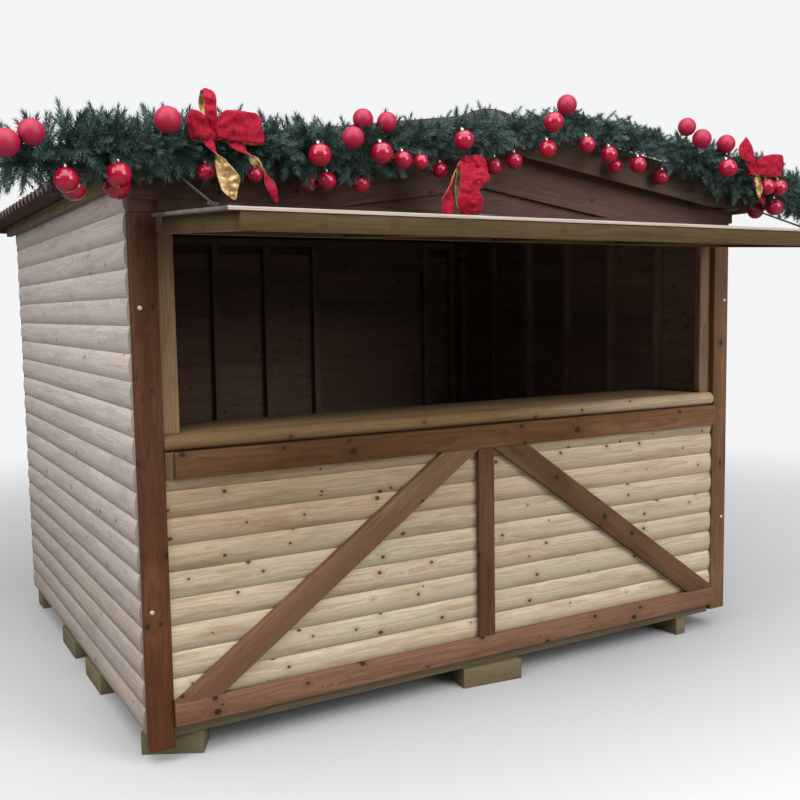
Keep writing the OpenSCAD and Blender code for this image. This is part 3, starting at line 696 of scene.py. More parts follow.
def loglap_board(bm, length, level, tongue):
    """A board from X = 0 to length with its crest at Y = 0, facing -Y, its foot at `level`."""
    half = (BOARD_COVER - GROOVE) / 2
    radius = (half ** 2 + BOARD_ROUND ** 2) / (2 * BOARD_ROUND)
    start = bm.verts.new((0, BOARD_ROUND, level + GROOVE))
    bmesh.ops.spin(bm, geom=[start], cent=(0, radius, level + GROOVE + half), axis=(1, 0, 0), dvec=(0, 0, 0),
                   angle=-2 * math.asin(half / radius), steps=ARC_STEPS, use_merge=False,
                   use_normal_flip=False, use_duplicate=False)
    arc = bm.verts[:]
    tongue_y = BOARD_T - TONGUE_T
    rebate_y = BOARD_T - REBATE_D
    outline = [(tongue_y, BOARD_COVER), (tongue_y, BOARD_COVER + tongue), (BOARD_T, BOARD_COVER + tongue),
               (BOARD_T, REBATE_H), (rebate_y, REBATE_H), (rebate_y, 0.0), (BOARD_ROUND + GROOVE_BACK, 0.0)]
    if not tongue:
        del outline[1]
    face = bm.faces.new(arc + [bm.verts.new((0, y, level + z)) for y, z in outline])
    pushed = bmesh.ops.extrude_face_region(bm, geom=[face])
    bmesh.ops.translate(bm, verts=moved(pushed), vec=(length, 0, 0))


# %% [markdown]
# ## Walls of boards
#
# Long boards are never straight. Each board is cut along its length into slices that wander
# by about a millimetre and tilts a little, which makes the shadow lines uneven as on the
# real wall. A displacement modifier could do it too, but it would open the joints.

# %% A wall of boards
CLADDING_Z = 0.108
SLICE = 0.16       # length of the slices that a board is cut into
BOW_OUT = 0.0022   # how far a board wanders out, up and in its tilt
BOW_UP = 0.0012
TILT = 0.0012
PROUD = 0.0008     # keeps the wandering faces from sinking behind the CAD face


def warp(one, lap, level, draw):
    """Lets a board wander and tilt, and writes how high on its board each point is."""
    phase = draw.uniform(0, 50)
    tilt = draw.uniform(-TILT, TILT)
    for vert in one.verts:
        vert[lap] = (vert.co.z - level) / BOARD_COVER
        out = noise.noise(Vector((vert.co.x * 0.9, phase, 0))) * BOW_OUT
        rise = noise.noise(Vector((vert.co.x * 0.7, phase, 9))) * BOW_UP
        outer = max(0.0, 1 - vert.co.y / BOARD_T)
        vert.co.y += outer * (out + PROUD + tilt * (vert.co.z - level) / BOARD_COVER)
        vert.co.z += outer * rise


def loglap_wall(length, rows, draw, place):
    """The boards of the given rows stacked into a wall, then set in place."""
    bm = bmesh.new()
    bm.verts.layers.float.new("lap")
    for row in rows:
        one = bmesh.new()
        lap = one.verts.layers.float.new("lap")
        level = CLADDING_Z + row * BOARD_COVER
        loglap_board(one, length, level, TONGUE_H if row < rows[-1] else 0)
        cuts = max(2, round(length / SLICE))
        for cut in range(1, cuts):
            bmesh.ops.bisect_plane(one, geom=whole(one), dist=1e-6, plane_no=(1, 0, 0),
                                   plane_co=(length * cut / cuts, 0, 0))
        warp(one, lap, level, draw)
        bmesh.ops.recalc_face_normals(one, faces=one.faces)
        add_mesh(bm, one)
    bmesh.ops.transform(bm, matrix=place, verts=bm.verts)
    set_grain(bm, draw, along=place.to_3x3() @ Vector((1, 0, 0)))
    return bm


def rows_up_to(top):
    """How many boards reach a height."""
    return round((top - CLADDING_Z) / BOARD_COVER)


# %% [markdown]
# ## The stall's walls
#
# The side walls run from eave to ground, the front panel starts over the bottom rail, and
# the back wall is split at the door. One long wall with a hole cut in it could do as well,
# but then one set of boards would run across the gaps beside the door. Apart from the front
# panel's, the inner faces get a darker finish, painted shade for the dim inside of the cabin.

# %% Side, front and back walls
BACKWARD = Matrix.Rotation(math.pi, 4, "Z")
DOOR_GAP = 0.005
SEAT = 0.0003    # room that the CAD model leaves where pieces touch


def wall_piece(name, node, length, rows, seed, place, inside, outer=SIDE_BOARD):
    """A wall of boards as a shown piece; faces that look along `inside` get the painted shade of the inside.
    """
    bm = loglap_wall(length, rows, random.Random(seed), place)
    if inside:
        paint_facing(bm, inside)
    finish_piece(bm, name, [outer, INSIDE_SHADED], replaces=[node])
    print(name, "boards:", len(rows))


for side, name, node, seed in ((-1, "boards_left", "left_cladding", 11),
                               (1, "boards_right", "right_cladding", 12)):
    low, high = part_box(node)
    corner = (low.x, high.y, 0) if side < 0 else (high.x, low.y, 0)
    place = Matrix.Translation(corner) @ Matrix.Rotation(math.radians(90 * side), 4, "Z")
    wall_piece(name, node, high.y - low.y, range(rows_up_to(high.z)), seed, place, (-side, 0, 0))

low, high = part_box("front_cladding")
wall_piece("boards_front", "front_cladding", high.x - low.x, range(1, rows_up_to(high.z)), 13,
           Matrix.Translation((low.x, low.y, 0)), None, FRONT_BOARD)

low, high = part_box("back_cladding")
door_low, door_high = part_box("back_door")
rows, door_rows = rows_up_to(high.z), rows_up_to(door_high.z)
head_low, head_high = door_low.x - DOOR_GAP + SEAT, door_high.x + DOOR_GAP - SEAT
for name, node, x0, x1, seed, first, last in (
        ("boards_back_a", "back_cladding", low.x, door_low.x - DOOR_GAP, 14, 0, rows),
        ("boards_back_b", "back_cladding", door_high.x + DOOR_GAP, high.x, 15, 0, rows),
        ("boards_door_head", "door_head_cladding", head_low, head_high, 16, door_rows, rows),
        ("door_leaf", "back_door", door_low.x, door_high.x, 17, 0, door_rows)):
    place = Matrix.Translation((x1, high.y, 0)) @ BACKWARD
    wall_piece(name, node, x1 - x0, range(first, last), seed, place, (0, -1, 0))

# %% [markdown]
# ## Metal and roof finishes
#
# Hinges and straps are black japanned iron, a little rough. The stays are zinc plated and
# dull with age, the bolt heads bright. The roof is corrugated bitumen sheet, matt and grainy,
# paler where water and dust have worn it. All are noise on the place of a point, because
# nothing on them follows a length, as grain does in wood.

# %% Metal and bitumen
def metal(name, colour, worn, roughness, metallic):
    """Painted or plated metal with fine scratches and worn patches."""
    made, tree = new_finish(name)
    patches = even_noise(tree, 60.0, 6.0, 0.7)
    grit = even_noise(tree, 900.0, 3.0)
    shown = blend(tree, fade(tree, patches, 0.45, 0.75, 0, 0.6), colour, worn)
    bump = add(tree, "Bump", {"Height": grit, "Strength": 0.2, "Distance": 0.0004}).outputs[0]
    rough = fade(tree, patches, 0.3, 0.7, roughness - 0.08, roughness + 0.12)
    surface(tree, shown, rough, bump, Metallic=metallic)
    return made


IRON = metal("black_iron", (0.018, 0.018, 0.019), (0.045, 0.040, 0.036), 0.42, 0.0)
ZINC = metal("zinc_dull", (0.060, 0.056, 0.053), (0.045, 0.041, 0.038), 0.6, 0.7)
BRIGHT_ZINC = metal("zinc_bright", (0.62, 0.62, 0.60), (0.40, 0.39, 0.37), 0.45, 0.8)

BITUMEN, tree = new_finish("bitumen_sheet")
grains = even_noise(tree, 700.0, 2.0)
clouds = even_noise(tree, 7.0, 6.0, 0.65)
shown = blend(tree, fade(tree, clouds, 0.35, 0.7), (0.050, 0.022, 0.018), (0.085, 0.052, 0.045))
shown = blend(tree, fade(tree, grains, 0.5, 0.72, 0, 0.5), shown, (0.16, 0.12, 0.11))
bump = add(tree, "Bump", {"Height": grains, "Strength": 0.5, "Distance": 0.0010}).outputs[0]
surface(tree, shown, 0.9, bump)

# %% [markdown]
# ## Ironwork and roof sheets
#
# Hinges, straps and stays are stamped or forged, and the sheets are pressed, so the CAD
# shapes are right. The iron gets slightly eased edges, which catch the light, and the sheets
# are shaded smooth over their waves.

# %% Ironwork and roof pieces
IRONWORK = [
    ("hinge_plates", "plates_hinge", IRON, "black_iron", "root"),
    ("door_furniture", "door_iron", IRON, "black_iron", "root"),
    ("stay_brackets", "brackets", ZINC, "zinc_steel", "root"),
    ("hatch_straps", "straps", IRON, "black_iron", "hatch"),
    ("left_stay", "stay_rod_left", ZINC, "zinc_steel", "left_stay"),
    ("right_stay", "stay_rod_right", ZINC, "zinc_steel", "right_stay"),
]
ROOF = [("left_roof_sheet", "roof_left"), ("right_roof_sheet", "roof_right"), ("ridge_cap", "ridge")]
for node, name, material, slot, body in IRONWORK:
    bm = cad_copy(node)
    ease(bm, 0.0006, sharper=60)
    finish_piece(bm, name, material, body, [node], sharper=35)
for node, name in ROOF:
    finish_piece(cad_copy(node), name, BITUMEN, replaces=[node], sharper=50)
print("metal pieces:", len(IRONWORK), "roof pieces:", len(ROOF))

# %% [markdown]
# ## Coach bolts
#
# Coach bolts hold the front posts, and only their low domed heads show. A head could be a
# flattened ball, but a short cone with an eased rim has the flat top of a real one.

# %% Bolt heads
BOLT_R, BOLT_H = 0.010, 0.005
BOLT_INSET = 0.026
BOLT_HEIGHTS = (0.582, 1.690)
FORWARD = Matrix.Rotation(math.radians(90), 4, "X")


def domed(bm, place, radius, height):
    """A low head that looks along the place's Z."""
    bmesh.ops.create_cone(bm, cap_ends=True, segments=16, radius1=radius, radius2=0.7 * radius, depth=height,
                          matrix=place @ Matrix.Translation((0, 0, height / 2)))


post_low, post_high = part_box("front_posts")
bm = bmesh.new()
for x in (post_low.x + BOLT_INSET, post_high.x - BOLT_INSET):
    for z in BOLT_HEIGHTS:
        domed(bm, Matrix.Translation((x, post_low.y, z)) @ FORWARD, BOLT_R, BOLT_H)
ease(bm, 0.0015, sharper=20)
print("bolt heads:", len(islands(bm)))
finish_piece(bm, "bolt_heads", BRIGHT_ZINC, replaces=["front_posts"])

# %% [markdown]
# ## Draught strips
#
# A door needs a few millimetres of play, and a strip in each gap keeps light and wind out.
# A strip could have its rubber lip modelled, but only a thin line of it shows, so each is a
# block scaled to the gap, with eased edges.

# %% Strips beside the door
STRIP_W, STRIP_D = 0.0044, 0.012
STRIP_BACK = 0.010
STRIP_SHORTER = 0.010
length = door_high.z - door_low.z - STRIP_SHORTER
size = Matrix.Diagonal((STRIP_W, STRIP_D, length, 1))
bm = bmesh.new()
for x in (door_low.x - DOOR_GAP / 2, door_high.x + DOOR_GAP / 2):
    place = Matrix.Translation((x, door_low.y + STRIP_BACK, (door_low.z + door_high.z) / 2))
    bmesh.ops.create_cube(bm, size=1, matrix=place @ size)
ease(bm, 0.001)
finish_piece(bm, "draught_strips", IRON, replaces=["door_furniture"])
print("strip length:", round(length, 3))

# %% [markdown]
# ## Ridge fillers
#
# The round cap would leave a hole at each end of the ridge, so a shaped board closes it. It
# could be drawn point by point, but a disc of the cap's own radius, cut off level above the
# sheets and pushed out to its thickness, fits the curve by itself.

# %% Fillers in the ends of the ridge cap
CAP_T = 0.0036
FILLER_T = 0.008
FILLER_SET = 0.0012
OVER_SHEET = 0.001
cap_low, cap_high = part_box("ridge_cap")
rise = cap_high.z - CAP_T - cap_low.z
radius = (cap_high.x ** 2 + rise ** 2) / (2 * rise)
bm = bmesh.new()
for y in (cap_low.y + FILLER_SET, cap_high.y - FILLER_SET - FILLER_T):
    place = Matrix.Translation((0, y, cap_low.z + rise - radius)) @ FORWARD
    bmesh.ops.create_circle(bm, cap_ends=True, segments=128, radius=radius, matrix=place)
bmesh.ops.bisect_plane(bm, geom=whole(bm), plane_no=(0, 0, 1), clear_inner=True,
                       plane_co=(0, 0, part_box("left_roof_sheet")[1].z + OVER_SHEET))
pushed = bmesh.ops.extrude_face_region(bm, geom=bm.faces[:])
bmesh.ops.translate(bm, vec=(0, FILLER_T, 0), verts=moved(pushed))
bmesh.ops.recalc_face_normals(bm, faces=bm.faces)
set_grain(bm, random.Random(31), along=(1, 0, 0))
finish_piece(bm, "ridge_fillers", DARK, replaces=["ridge_cap"])
print("radius of the ridge fillers:", round(radius, 3))

# %% [markdown]
# ## Roof nails
#
# Capped nails go through every second crest of the sheets, never through a valley, where
# water runs. Their places could be worked out from the wave, but rays dropped on the sheet
# find its crests whatever its slope and pitch.

# %% Nail caps
NAIL_ROWS = (0.16, 0.55, 0.92)
NAIL_R, NAIL_H = 0.010, 0.006
PROBE_STEP = 0.004
ABOVE = 4.0
DOWN = Vector((0, 0, -1))


def crests(sheet, low, high, x):
    """The places along Y where a sheet is highest."""
    places = [low.y + PROBE_STEP * step for step in range(int((high.y - low.y) / PROBE_STEP))]
    hits = [sheet.ray_cast(Vector((x, y, ABOVE)), DOWN)[0] for y in places]
    heights = [0.0 if hit is None else hit.z for hit in hits]
    return [places[i] for i in range(1, len(places) - 1)
            if heights[i - 1] < heights[i] >= heights[i + 1] and heights[i] > 1]


bm = bmesh.new()
for node in ("left_roof_sheet", "right_roof_sheet"):
    clean = cad_copy(node)
    sheet = BVHTree.FromBMesh(clean)
    clean.free()
    low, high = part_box(node)
    eave, ridge = (low.x, high.x) if node.startswith("left") else (high.x, low.x)
    for y in crests(sheet, low, high, (eave + ridge) / 2)[::2]:
        for row in NAIL_ROWS:
            at, normal, _, _ = sheet.ray_cast(Vector((eave + (ridge - eave) * row, y, ABOVE)), DOWN)
            if at is not None:
                turned = normal.to_track_quat("Z", "Y").to_matrix().to_4x4()
                domed(bm, Matrix.Translation(at) @ turned, NAIL_R, NAIL_H)
ease(bm, 0.0015, segments=1, sharper=20)
print("nail caps:", len(islands(bm)))
finish_piece(bm, "nail_caps", BITUMEN, replaces=["left_roof_sheet", "right_roof_sheet"])

# %% [markdown]
# ## Garland
#
# An artificial fir garland is two twisted wires that grip hundreds of short sprigs. Each
# sprig is a thin wire with strips of film cut into needles. Hair particles could stand for
# them, but real needles keep their shape in the export. Thirty-two different sprigs are
# made, each needle a slim pyramid, and copies of them are set round the core, turned and
# tilted at random from fixed seeds.

# %% The wire through the garland
GARLAND_Y = -1.4003
# Bends of the wire from left to right: distance along the front, height and fullness
GARLAND_PATH = [(-2.000, 2.120, 1.0), (-1.740, 2.206, 1.0), (-1.350, 2.243, 0.95), (-0.675, 2.257, 0.95),
                (-0.285, 2.330, 0.76), (0.000, 2.376, 0.64), (0.320, 2.432, 0.58), (0.850, 2.382, 0.60),
                (1.100, 2.328, 0.76), (1.350, 2.272, 0.92), (1.740, 2.216, 1.0), (2.000, 2.130, 1.0)]


def along_garland(x):
    """The point of the garland's wire at x, the way that it runs there and how full it is."""
    for (x0, z0, full0), (x1, z1, full1) in zip(GARLAND_PATH, GARLAND_PATH[1:]):
        if x <= x1:
            break
    share = (x - x0) / (x1 - x0)
    way = Vector((x1 - x0, 0, z1 - z0)).normalized()
    return Vector((x, GARLAND_Y, z0 + (z1 - z0) * share)), way, full0 + (full1 - full0) * share


# %% Sprigs
SPRIG_KINDS = 32
NEEDLES = 60
NEEDLE_R = 0.0022
GOLDEN_TURN = 2.39996    # radians between needles that follow each other round the twig


def make_sprig(draw):
    """A sprig along +Z, with a `tip` attribute of 1 at the needles' ends, and its length."""
    bm = bmesh.new()
    length = draw.uniform(0.105, 0.135)
    bmesh.ops.create_cone(bm, cap_ends=True, segments=4, radius1=0.0016, radius2=0.0006, depth=length,
                          matrix=Matrix.Translation((0, 0, length / 2)))
    tip = bm.verts.layers.float.new("tip")
    for number in range(NEEDLES):
        share = 0.06 + 0.94 * number / (NEEDLES - 1)
        long = draw.uniform(0.026, 0.036) * (1 - 0.35 * share ** 3)
        lean = math.radians(draw.uniform(48, 64) - 38 * share ** 3)
        spin = number * GOLDEN_TURN + draw.uniform(-0.4, 0.4)
        turn = Matrix.Rotation(spin, 4, "Z") @ Matrix.Rotation(lean, 4, "Y")
        flat = Matrix.Diagonal((1.0, 0.55, 1.0, 1.0))
        root = Vector((0, 0, share * length))
        place = Matrix.Translation(root) @ turn @ Matrix.Translation((0, 0, long / 2)) @ flat
        made = bmesh.ops.create_cone(bm, cap_ends=True, segments=3, radius1=NEEDLE_R, radius2=0.0,
                                     depth=long, matrix=place)
        for vert in made["verts"]:
            vert[tip] = min(1.0, (vert.co - root).length / long)
    mesh = bpy.data.meshes.new("sprig")
    bm.to_mesh(mesh)
    bm.free()
    mesh.attributes.new("tone", "FLOAT", "POINT")
    return mesh, length


draw = random.Random(2026)
sprigs = [make_sprig(draw) for _ in range(SPRIG_KINDS)]
print("sprig faces:", len(sprigs[0][0].polygons))

# %% [markdown]
# ## Needle colour
#
# Fir film is a dark blue-green, frosted at the tips. A texture couldn't find the tips, so the
# needles carry how near their tip a point is, and each sprig a tone of its own.

# %% Fir finish
FIR, tree = new_finish("fir_needles")
tip = attribute(tree, "tip")
own = attribute(tree, "tone")
needle = blend(tree, own, (0.020, 0.046, 0.036), (0.046, 0.102, 0.077))
bluish = blend(tree, fade(tree, own, 0.45, 0.8), needle, (0.068, 0.132, 0.116))
frost = calc(tree, "MULTIPLY", fade(tree, tip, 0.55, 1.0), fade(tree, own, 0.35, 0.8, 0.10, 0.80))
surface(tree, blend(tree, frost, bluish, (0.38, 0.46, 0.42)), 0.48)

# %% [markdown]
# ## Sprigs round the wire
#
# A garland is full where it hangs free and thin where it is pulled tight over the gable. Much
# shorter sprigs would look like tinsel there, so they shrink only a little and lie closer
# along the wire instead. Sprigs that would reach into the bargeboards are made smaller or
# left out.

# %% Planting the sprigs
BACK_LIMIT = -1.322
GARLAND_END = 1.985
PLANTED_TO = 1.93
PARTS = 5
SPRIGS_A_PART = 520
NEEDLE_ROOM = 0.03
ROOT_OUT = 0.006


def bounded(tip_at):
    """Whether a sprig's end stays off the bargeboards and inside the garland's length."""
    return tip_at.y < BACK_LIMIT and abs(tip_at.x) < GARLAND_END


def plant(bm, draw, x):
    """Sets one random sprig on the core at x, if it fits."""
    base, way, full = along_garland(x)
    mesh, length = draw.choice(sprigs)
    across = Vector((0, -1, 0))
    swing = draw.uniform(0, 2 * math.pi)
    out = across * math.cos(swing) + way.cross(across) * math.sin(swing)
    uneven = 1 + 0.3 * noise.noise(Vector((x * 4, 3, 7)))
    reach = min(1.0, full * uneven * draw.choice((1.0, 1.0, 1.0, 1.35)))
    lean = math.copysign(math.acos(reach * math.cos(math.radians(draw.uniform(0, 42)))), draw.uniform(-1, 1))
    pointing = out * math.cos(lean) + way * math.sin(lean)
    size = draw.uniform(0.78, 1.12) * (0.65 + 0.35 * full)
    tone = draw.random()
    turn = Matrix.Rotation(draw.uniform(0, 6.28), 4, "Z")
    if not bounded(base + pointing * (length + NEEDLE_ROOM) * size):
        size *= 0.6
        if not bounded(base + pointing * (length + NEEDLE_ROOM) * size):
            return 0
    stood = pointing.to_track_quat("Z", "Y").to_matrix().to_4x4()
    copy = mesh.copy()
    copy.transform(Matrix.Translation(base + out * ROOT_OUT) @ stood @ turn @ Matrix.Scale(size, 4))
    copy.attributes["tone"].data.foreach_set("value", [tone] * len(copy.vertices))
    bm.from_mesh(copy)
    bpy.data.meshes.remove(copy)
    return 1


planted = 0
part_length = 2 * PLANTED_TO / PARTS
for part in range(PARTS):
    draw = random.Random(300 + part)
    bm = bmesh.new()
    bm.verts.layers.float.new("tip")
    bm.verts.layers.float.new("tone")
    for step in range(SPRIGS_A_PART):
        share = part + (step + draw.random()) / SPRIGS_A_PART
        planted += plant(bm, draw, -PLANTED_TO + part_length * share)
    finish_piece(bm, "fir_%d" % part, FIR, replaces=["garland"])
print("sprigs planted:", planted)

# %% [markdown]
# ## The twisted core
#
# Between the sprigs the wire rope shows here and there. A curve with a bevel would do, but
# rings bridged in a bmesh need no conversion and close neatly at both ends.

# %% Garland core
CORE_R = 0.012
CORE_END = 1.96
CORE_RINGS = 61
bm = bmesh.new()
rings = []
for number in range(CORE_RINGS):
    centre, way, _ = along_garland(-CORE_END + 2 * CORE_END * number / (CORE_RINGS - 1))
    turned = way.to_track_quat("Z", "Y").to_matrix().to_4x4()
    ring = bmesh.ops.create_circle(bm, segments=8, radius=CORE_R, matrix=Matrix.Translation(centre) @ turned)
    rings.append(ring["verts"])
for pair in zip(rings, rings[1:]):
    edges = [edge for ring in pair for vert in ring for edge in vert.link_edges
             if edge.other_vert(vert) in ring]
    bmesh.ops.bridge_loops(bm, edges=list(dict.fromkeys(edges)))
for ring in (rings[0], rings[-1]):
    bm.faces.new(ring)
bmesh.ops.recalc_face_normals(bm, faces=bm.faces)
bm.verts.layers.float.new("tip")
bm.verts.layers.float.new("tone")
finish_piece(bm, "fir_core", FIR, replaces=["garland"])
print("core rings:", len(rings))

# %% [markdown]
# ## Bauble finishes
#
# The baubles are blown plastic balls, some lacquered and some frosted. Lacquer is a smooth
# red under a clear coat, and painted shade darkens it towards its outline. Frost scatters the
# light, so its outline is painted paler, a painted sheen, and its fine grains are bump, because
# they are far too small to model.

# %% Lacquered and frosted red
def bauble_finish(name, colour, rim, roughness, coat):
    """Red plastic that changes to `rim` in clouds, and towards its outline as painted shade on lacquer and
    painted sheen on frost.
    """
    made, tree = new_finish(name)
    cloud = even_noise(tree, 40.0, 4.0)
    glitter = even_noise(tree, 1500.0, 1.0)
    facing = add(tree, "LayerWeight", {"Blend": 0.35}).outputs["Facing"]
    shown = blend(tree, fade(tree, cloud, 0.3, 0.7, 0, 0.35), colour, rim)
    # Towards the outline: painted shade on lacquer, a painted sheen on frost
    shown = blend(tree, fade(tree, facing, 0.3, 1.0, 0, 0.5), shown, rim)
    bump = add(tree, "Bump", {"Height": glitter, "Strength": 0.4 * roughness, "Distance": 0.0005}).outputs[0]
    surface(tree, shown, roughness, bump, Coat_Weight=coat, Coat_Roughness=0.08)
    return made


GLOSSY = bauble_finish("bauble_gloss", (0.42, 0.001, 0.030), (0.17, 0.0005, 0.013), 0.17, 0.35)
FROSTED = bauble_finish("bauble_frost", (0.36, 0.002, 0.034), (0.43, 0.007, 0.064), 0.5, 0.0)
CAP = metal("bauble_cap", (0.78, 0.70, 0.52), (0.55, 0.47, 0.32), 0.3, 1.0)


# %% [markdown]
# ## Baubles
#
# Each ball has a crimped cap with a wire loop, by which a wire ties it to the garland. The
# CAD balls give the places and sizes. A screw or a curve could make the loop, but a small
# circle spun round its middle closes by itself. The cap is a cone whose rim is pinched, and
# it looks towards the garland's core.

# %% Balls, caps and loops
LOOP_R, LOOP_WIRE = 0.0052, 0.0011
LOOP_UP = 0.003
TIE_R = 0.0007
BALL_SHRINK = 0.992
CAP_ON = 0.985


def pinch(cap, centre, up, depth):
    """Crimps a cap: pairs of its vertices move in towards its axis."""
    for number, vert in enumerate(cap):
        if number % 4 < 2:
            out = vert.co - centre
            vert.co -= (out - up * out.dot(up)).normalized() * depth


def wire_loop(bm, turned, height):
    """A loop of wire that stands on a cap; returns the loop's middle."""
    profile = bmesh.ops.create_circle(bm, segments=6, radius=LOOP_WIRE,
                                      matrix=turned @ Matrix.Translation((LOOP_R, 0, height)))["verts"]
    edges = list(dict.fromkeys(edge for vert in profile for edge in vert.link_edges))
    middle = turned @ Vector((0, 0, height))
    bmesh.ops.spin(bm, geom=profile + edges, cent=middle, axis=turned.to_3x3() @ Vector((0, 1, 0)),
                   dvec=(0, 0, 0), angle=2 * math.pi, steps=12, use_merge=True, use_normal_flip=False,
                   use_duplicate=False)
    return middle


def ball(bm, centre, radius, up, core):
    """A ball with a cap and loop towards `up`, and a wire from there to the garland's core."""
    turned = Matrix.Translation(centre) @ up.to_track_quat("Z", "Y").to_matrix().to_4x4()
    bmesh.ops.create_uvsphere(bm, u_segments=32, v_segments=20, radius=radius * BALL_SHRINK, matrix=turned)
    red_faces = len(bm.faces)
    cap_r, cap_h, foot = radius * 0.17, radius * 0.20, radius * CAP_ON
    cap = bmesh.ops.create_cone(bm, cap_ends=True, segments=16, radius1=cap_r * 1.08, radius2=cap_r,
                                depth=cap_h, matrix=turned @ Matrix.Translation((0, 0, foot + cap_h / 2)))
    pinch(cap["verts"], centre, up, cap_r * 0.12)
    middle = wire_loop(bm, turned, foot + cap_h + LOOP_UP)
    tie = core - middle
    stood = Matrix.Translation(middle + tie / 2) @ tie.to_track_quat("Z", "Y").to_matrix().to_4x4()
    bmesh.ops.create_cone(bm, cap_ends=True, segments=5, radius1=TIE_R, radius2=TIE_R, depth=tie.length,
                          matrix=stood)
    bm.faces.ensure_lookup_table()
    for face in bm.faces[red_faces:]:
        face.material_index = 1


# %% Baubles at their CAD places
WIRE_END = 1.99
source = cad_copy("baubles")
balls = []
for group in islands(source):
    low, high = [Vector([pick(vert.co[axis] for vert in group) for axis in range(3)]) for pick in (min, max)]
    balls.append(((low + high) / 2, (high.x - low.x) / 2))
source.free()
balls.sort(key=lambda one: one[0].x)
gloss_bm, frost_bm = bmesh.new(), bmesh.new()
for centre, radius in balls:
    core, _, _ = along_garland(max(-WIRE_END, min(WIRE_END, centre.x)))
    inward = (core - centre).normalized()
    hanging = centre.z < core.z + 0.02
    if hanging:
        up = (inward * 0.35 + Vector((0, 0, 1.0))).normalized()
    else:
        up = (inward + Vector((0, 0, 0.15))).normalized()
    ball(gloss_bm if hanging else frost_bm, centre, radius, up, core)
for bm, name, finish in ((gloss_bm, "baubles_gloss", GLOSSY), (frost_bm, "baubles_frost", FROSTED)):
    bmesh.ops.recalc_face_normals(bm, faces=bm.faces)
    finish_piece(bm, name, [finish, CAP], replaces=["baubles"], sharper=60)
print("baubles:", len(balls))

# %% [markdown]
# ## Ribbon finishes
#
# The bows are tied from wide wired ribbon: crushed red velvet outside, gold lining, and a
# gold edge over the wire. Velvet is dark where its pile lies flat and glows at its folds,
# which a little sheen gives, and its colour is darker in the hollows of the crush, partly its
# own patchy pile and partly painted shade. The lining is a crinkled film with a metal shine,
# painted darker in its crinkles as painted shade. An image of cloth would repeat along a
# ribbon, so noise crushes the pile and crinkles the film.

# %% Velvet, lining and edge
VELVET, tree = new_finish("velvet")
crush = even_noise(tree, 150.0, 4.0, 0.6)
pile = even_noise(tree, 1400.0, 2.0)
# Darker in the hollows of the crush: the pile's own patchiness and painted shade
shown = blend(tree, fade(tree, crush, 0.35, 0.65), (0.24, 0.002, 0.012), (0.43, 0.003, 0.034))
height = calc(tree, "MULTIPLY_ADD", crush, 3.0, pile)
bump = add(tree, "Bump", {"Height": height, "Strength": 0.5, "Distance": 0.0012}).outputs[0]
surface(tree, shown, 0.7, bump, Specular_IOR_Level=0.2, Sheen_Weight=0.2, Sheen_Roughness=0.35,
        Sheen_Tint=(1.0, 0.2, 0.36, 1))

LINING, tree = new_finish("gold_lining")
crush = even_noise(tree, 45.0, 5.0, 0.6)
# Darker in the hollows of the crinkles: painted shade
shown = blend(tree, fade(tree, crush, 0.35, 0.65), (0.30, 0.17, 0.060), (0.66, 0.46, 0.22))
bump = add(tree, "Bump", {"Height": crush, "Strength": 0.8, "Distance": 0.004}).outputs[0]
surface(tree, shown, 0.38, bump, Metallic=0.35)

EDGE, tree = new_finish("gold_edge")
surface(tree, (0.72, 0.50, 0.24), 0.35, Metallic=0.6)

# %% [markdown]
# ## Ribbons
#
# Wired ribbon stays as it is bent, so a cloth simulation would only let it fall. A ribbon
# here is a row of stations, each a point with a half-width vector, so that it can turn and
# pinch. A line through the stations is extruded across, subdivided and crumpled, and a
# Solidify modifier gives it thickness, with lining and edge as their own materials.

# %% Cloth across a line of stations
STEPS = 10
CUTS_ACROSS = 11


def between(stations, steps):
    """Catmull-Rom points through the stations, each a tuple of numbers."""
    rows = [Vector(row) for row in stations]
    rows = [2 * rows[0] - rows[1]] + rows + [2 * rows[-1] - rows[-2]]
    found = []
    for i in range(1, len(rows) - 2):
        a, b, c, d = rows[i - 1:i + 3]
        for step in range(steps + (i == len(rows) - 3)):
            t = step / steps
            found.append(0.5 * (2 * b + (c - a) * t + (2 * a - 5 * b + 4 * c - d) * t * t
                                + (3 * b - a - 3 * c + d) * t ** 3))
    return found


def ribbon_sheet(bm, centres, halves, share):
    """A strip from the line less the half-widths to the line plus them; share is 0 to 1 across."""
    near = [bm.verts.new(centre) for centre in centres]
    edges = [bm.edges.new(pair) for pair in zip(near, near[1:])]
    bmesh.ops.extrude_edge_only(bm, edges=edges)
    line = set(near)
    for vert, centre, half in zip(near, centres, halves):
        far = next(edge.other_vert(vert) for edge in vert.link_edges if edge.other_vert(vert) not in line)
        far.co = centre + half
        far[share] = 1.0
        vert.co = centre - half
    rungs = [edge for edge in bm.edges if abs(edge.verts[0][share] - edge.verts[1][share]) > 0.5]
    bmesh.ops.subdivide_edges(bm, edges=rungs, cuts=CUTS_ACROSS, use_grid_fill=False)
    bmesh.ops.reverse_faces(bm, faces=bm.faces)
    bm.normal_update()


# %% One wired ribbon
CRUMPLE = 0.008
RIBBON_T = 0.0012


def crumple(bm, share, seed):
    """Pushes the middle of the cloth in and out along sharp ridges, and its wired edges less."""
    shift = Vector((seed * 7.3, seed * 3.1, 0))
    moves = []
    for vert in bm.verts:
        inner = 1 - abs(2 * vert[share] - 1) ** 2
        at = vert.co + shift
        fold = 1 - 2.4 * abs(noise.noise(at * 19)) - abs(noise.noise(at * 52))
        moves.append(vert.normal * fold * CRUMPLE * (0.35 + inner))
    for vert, move in zip(bm.verts, moves):
        vert.co += move


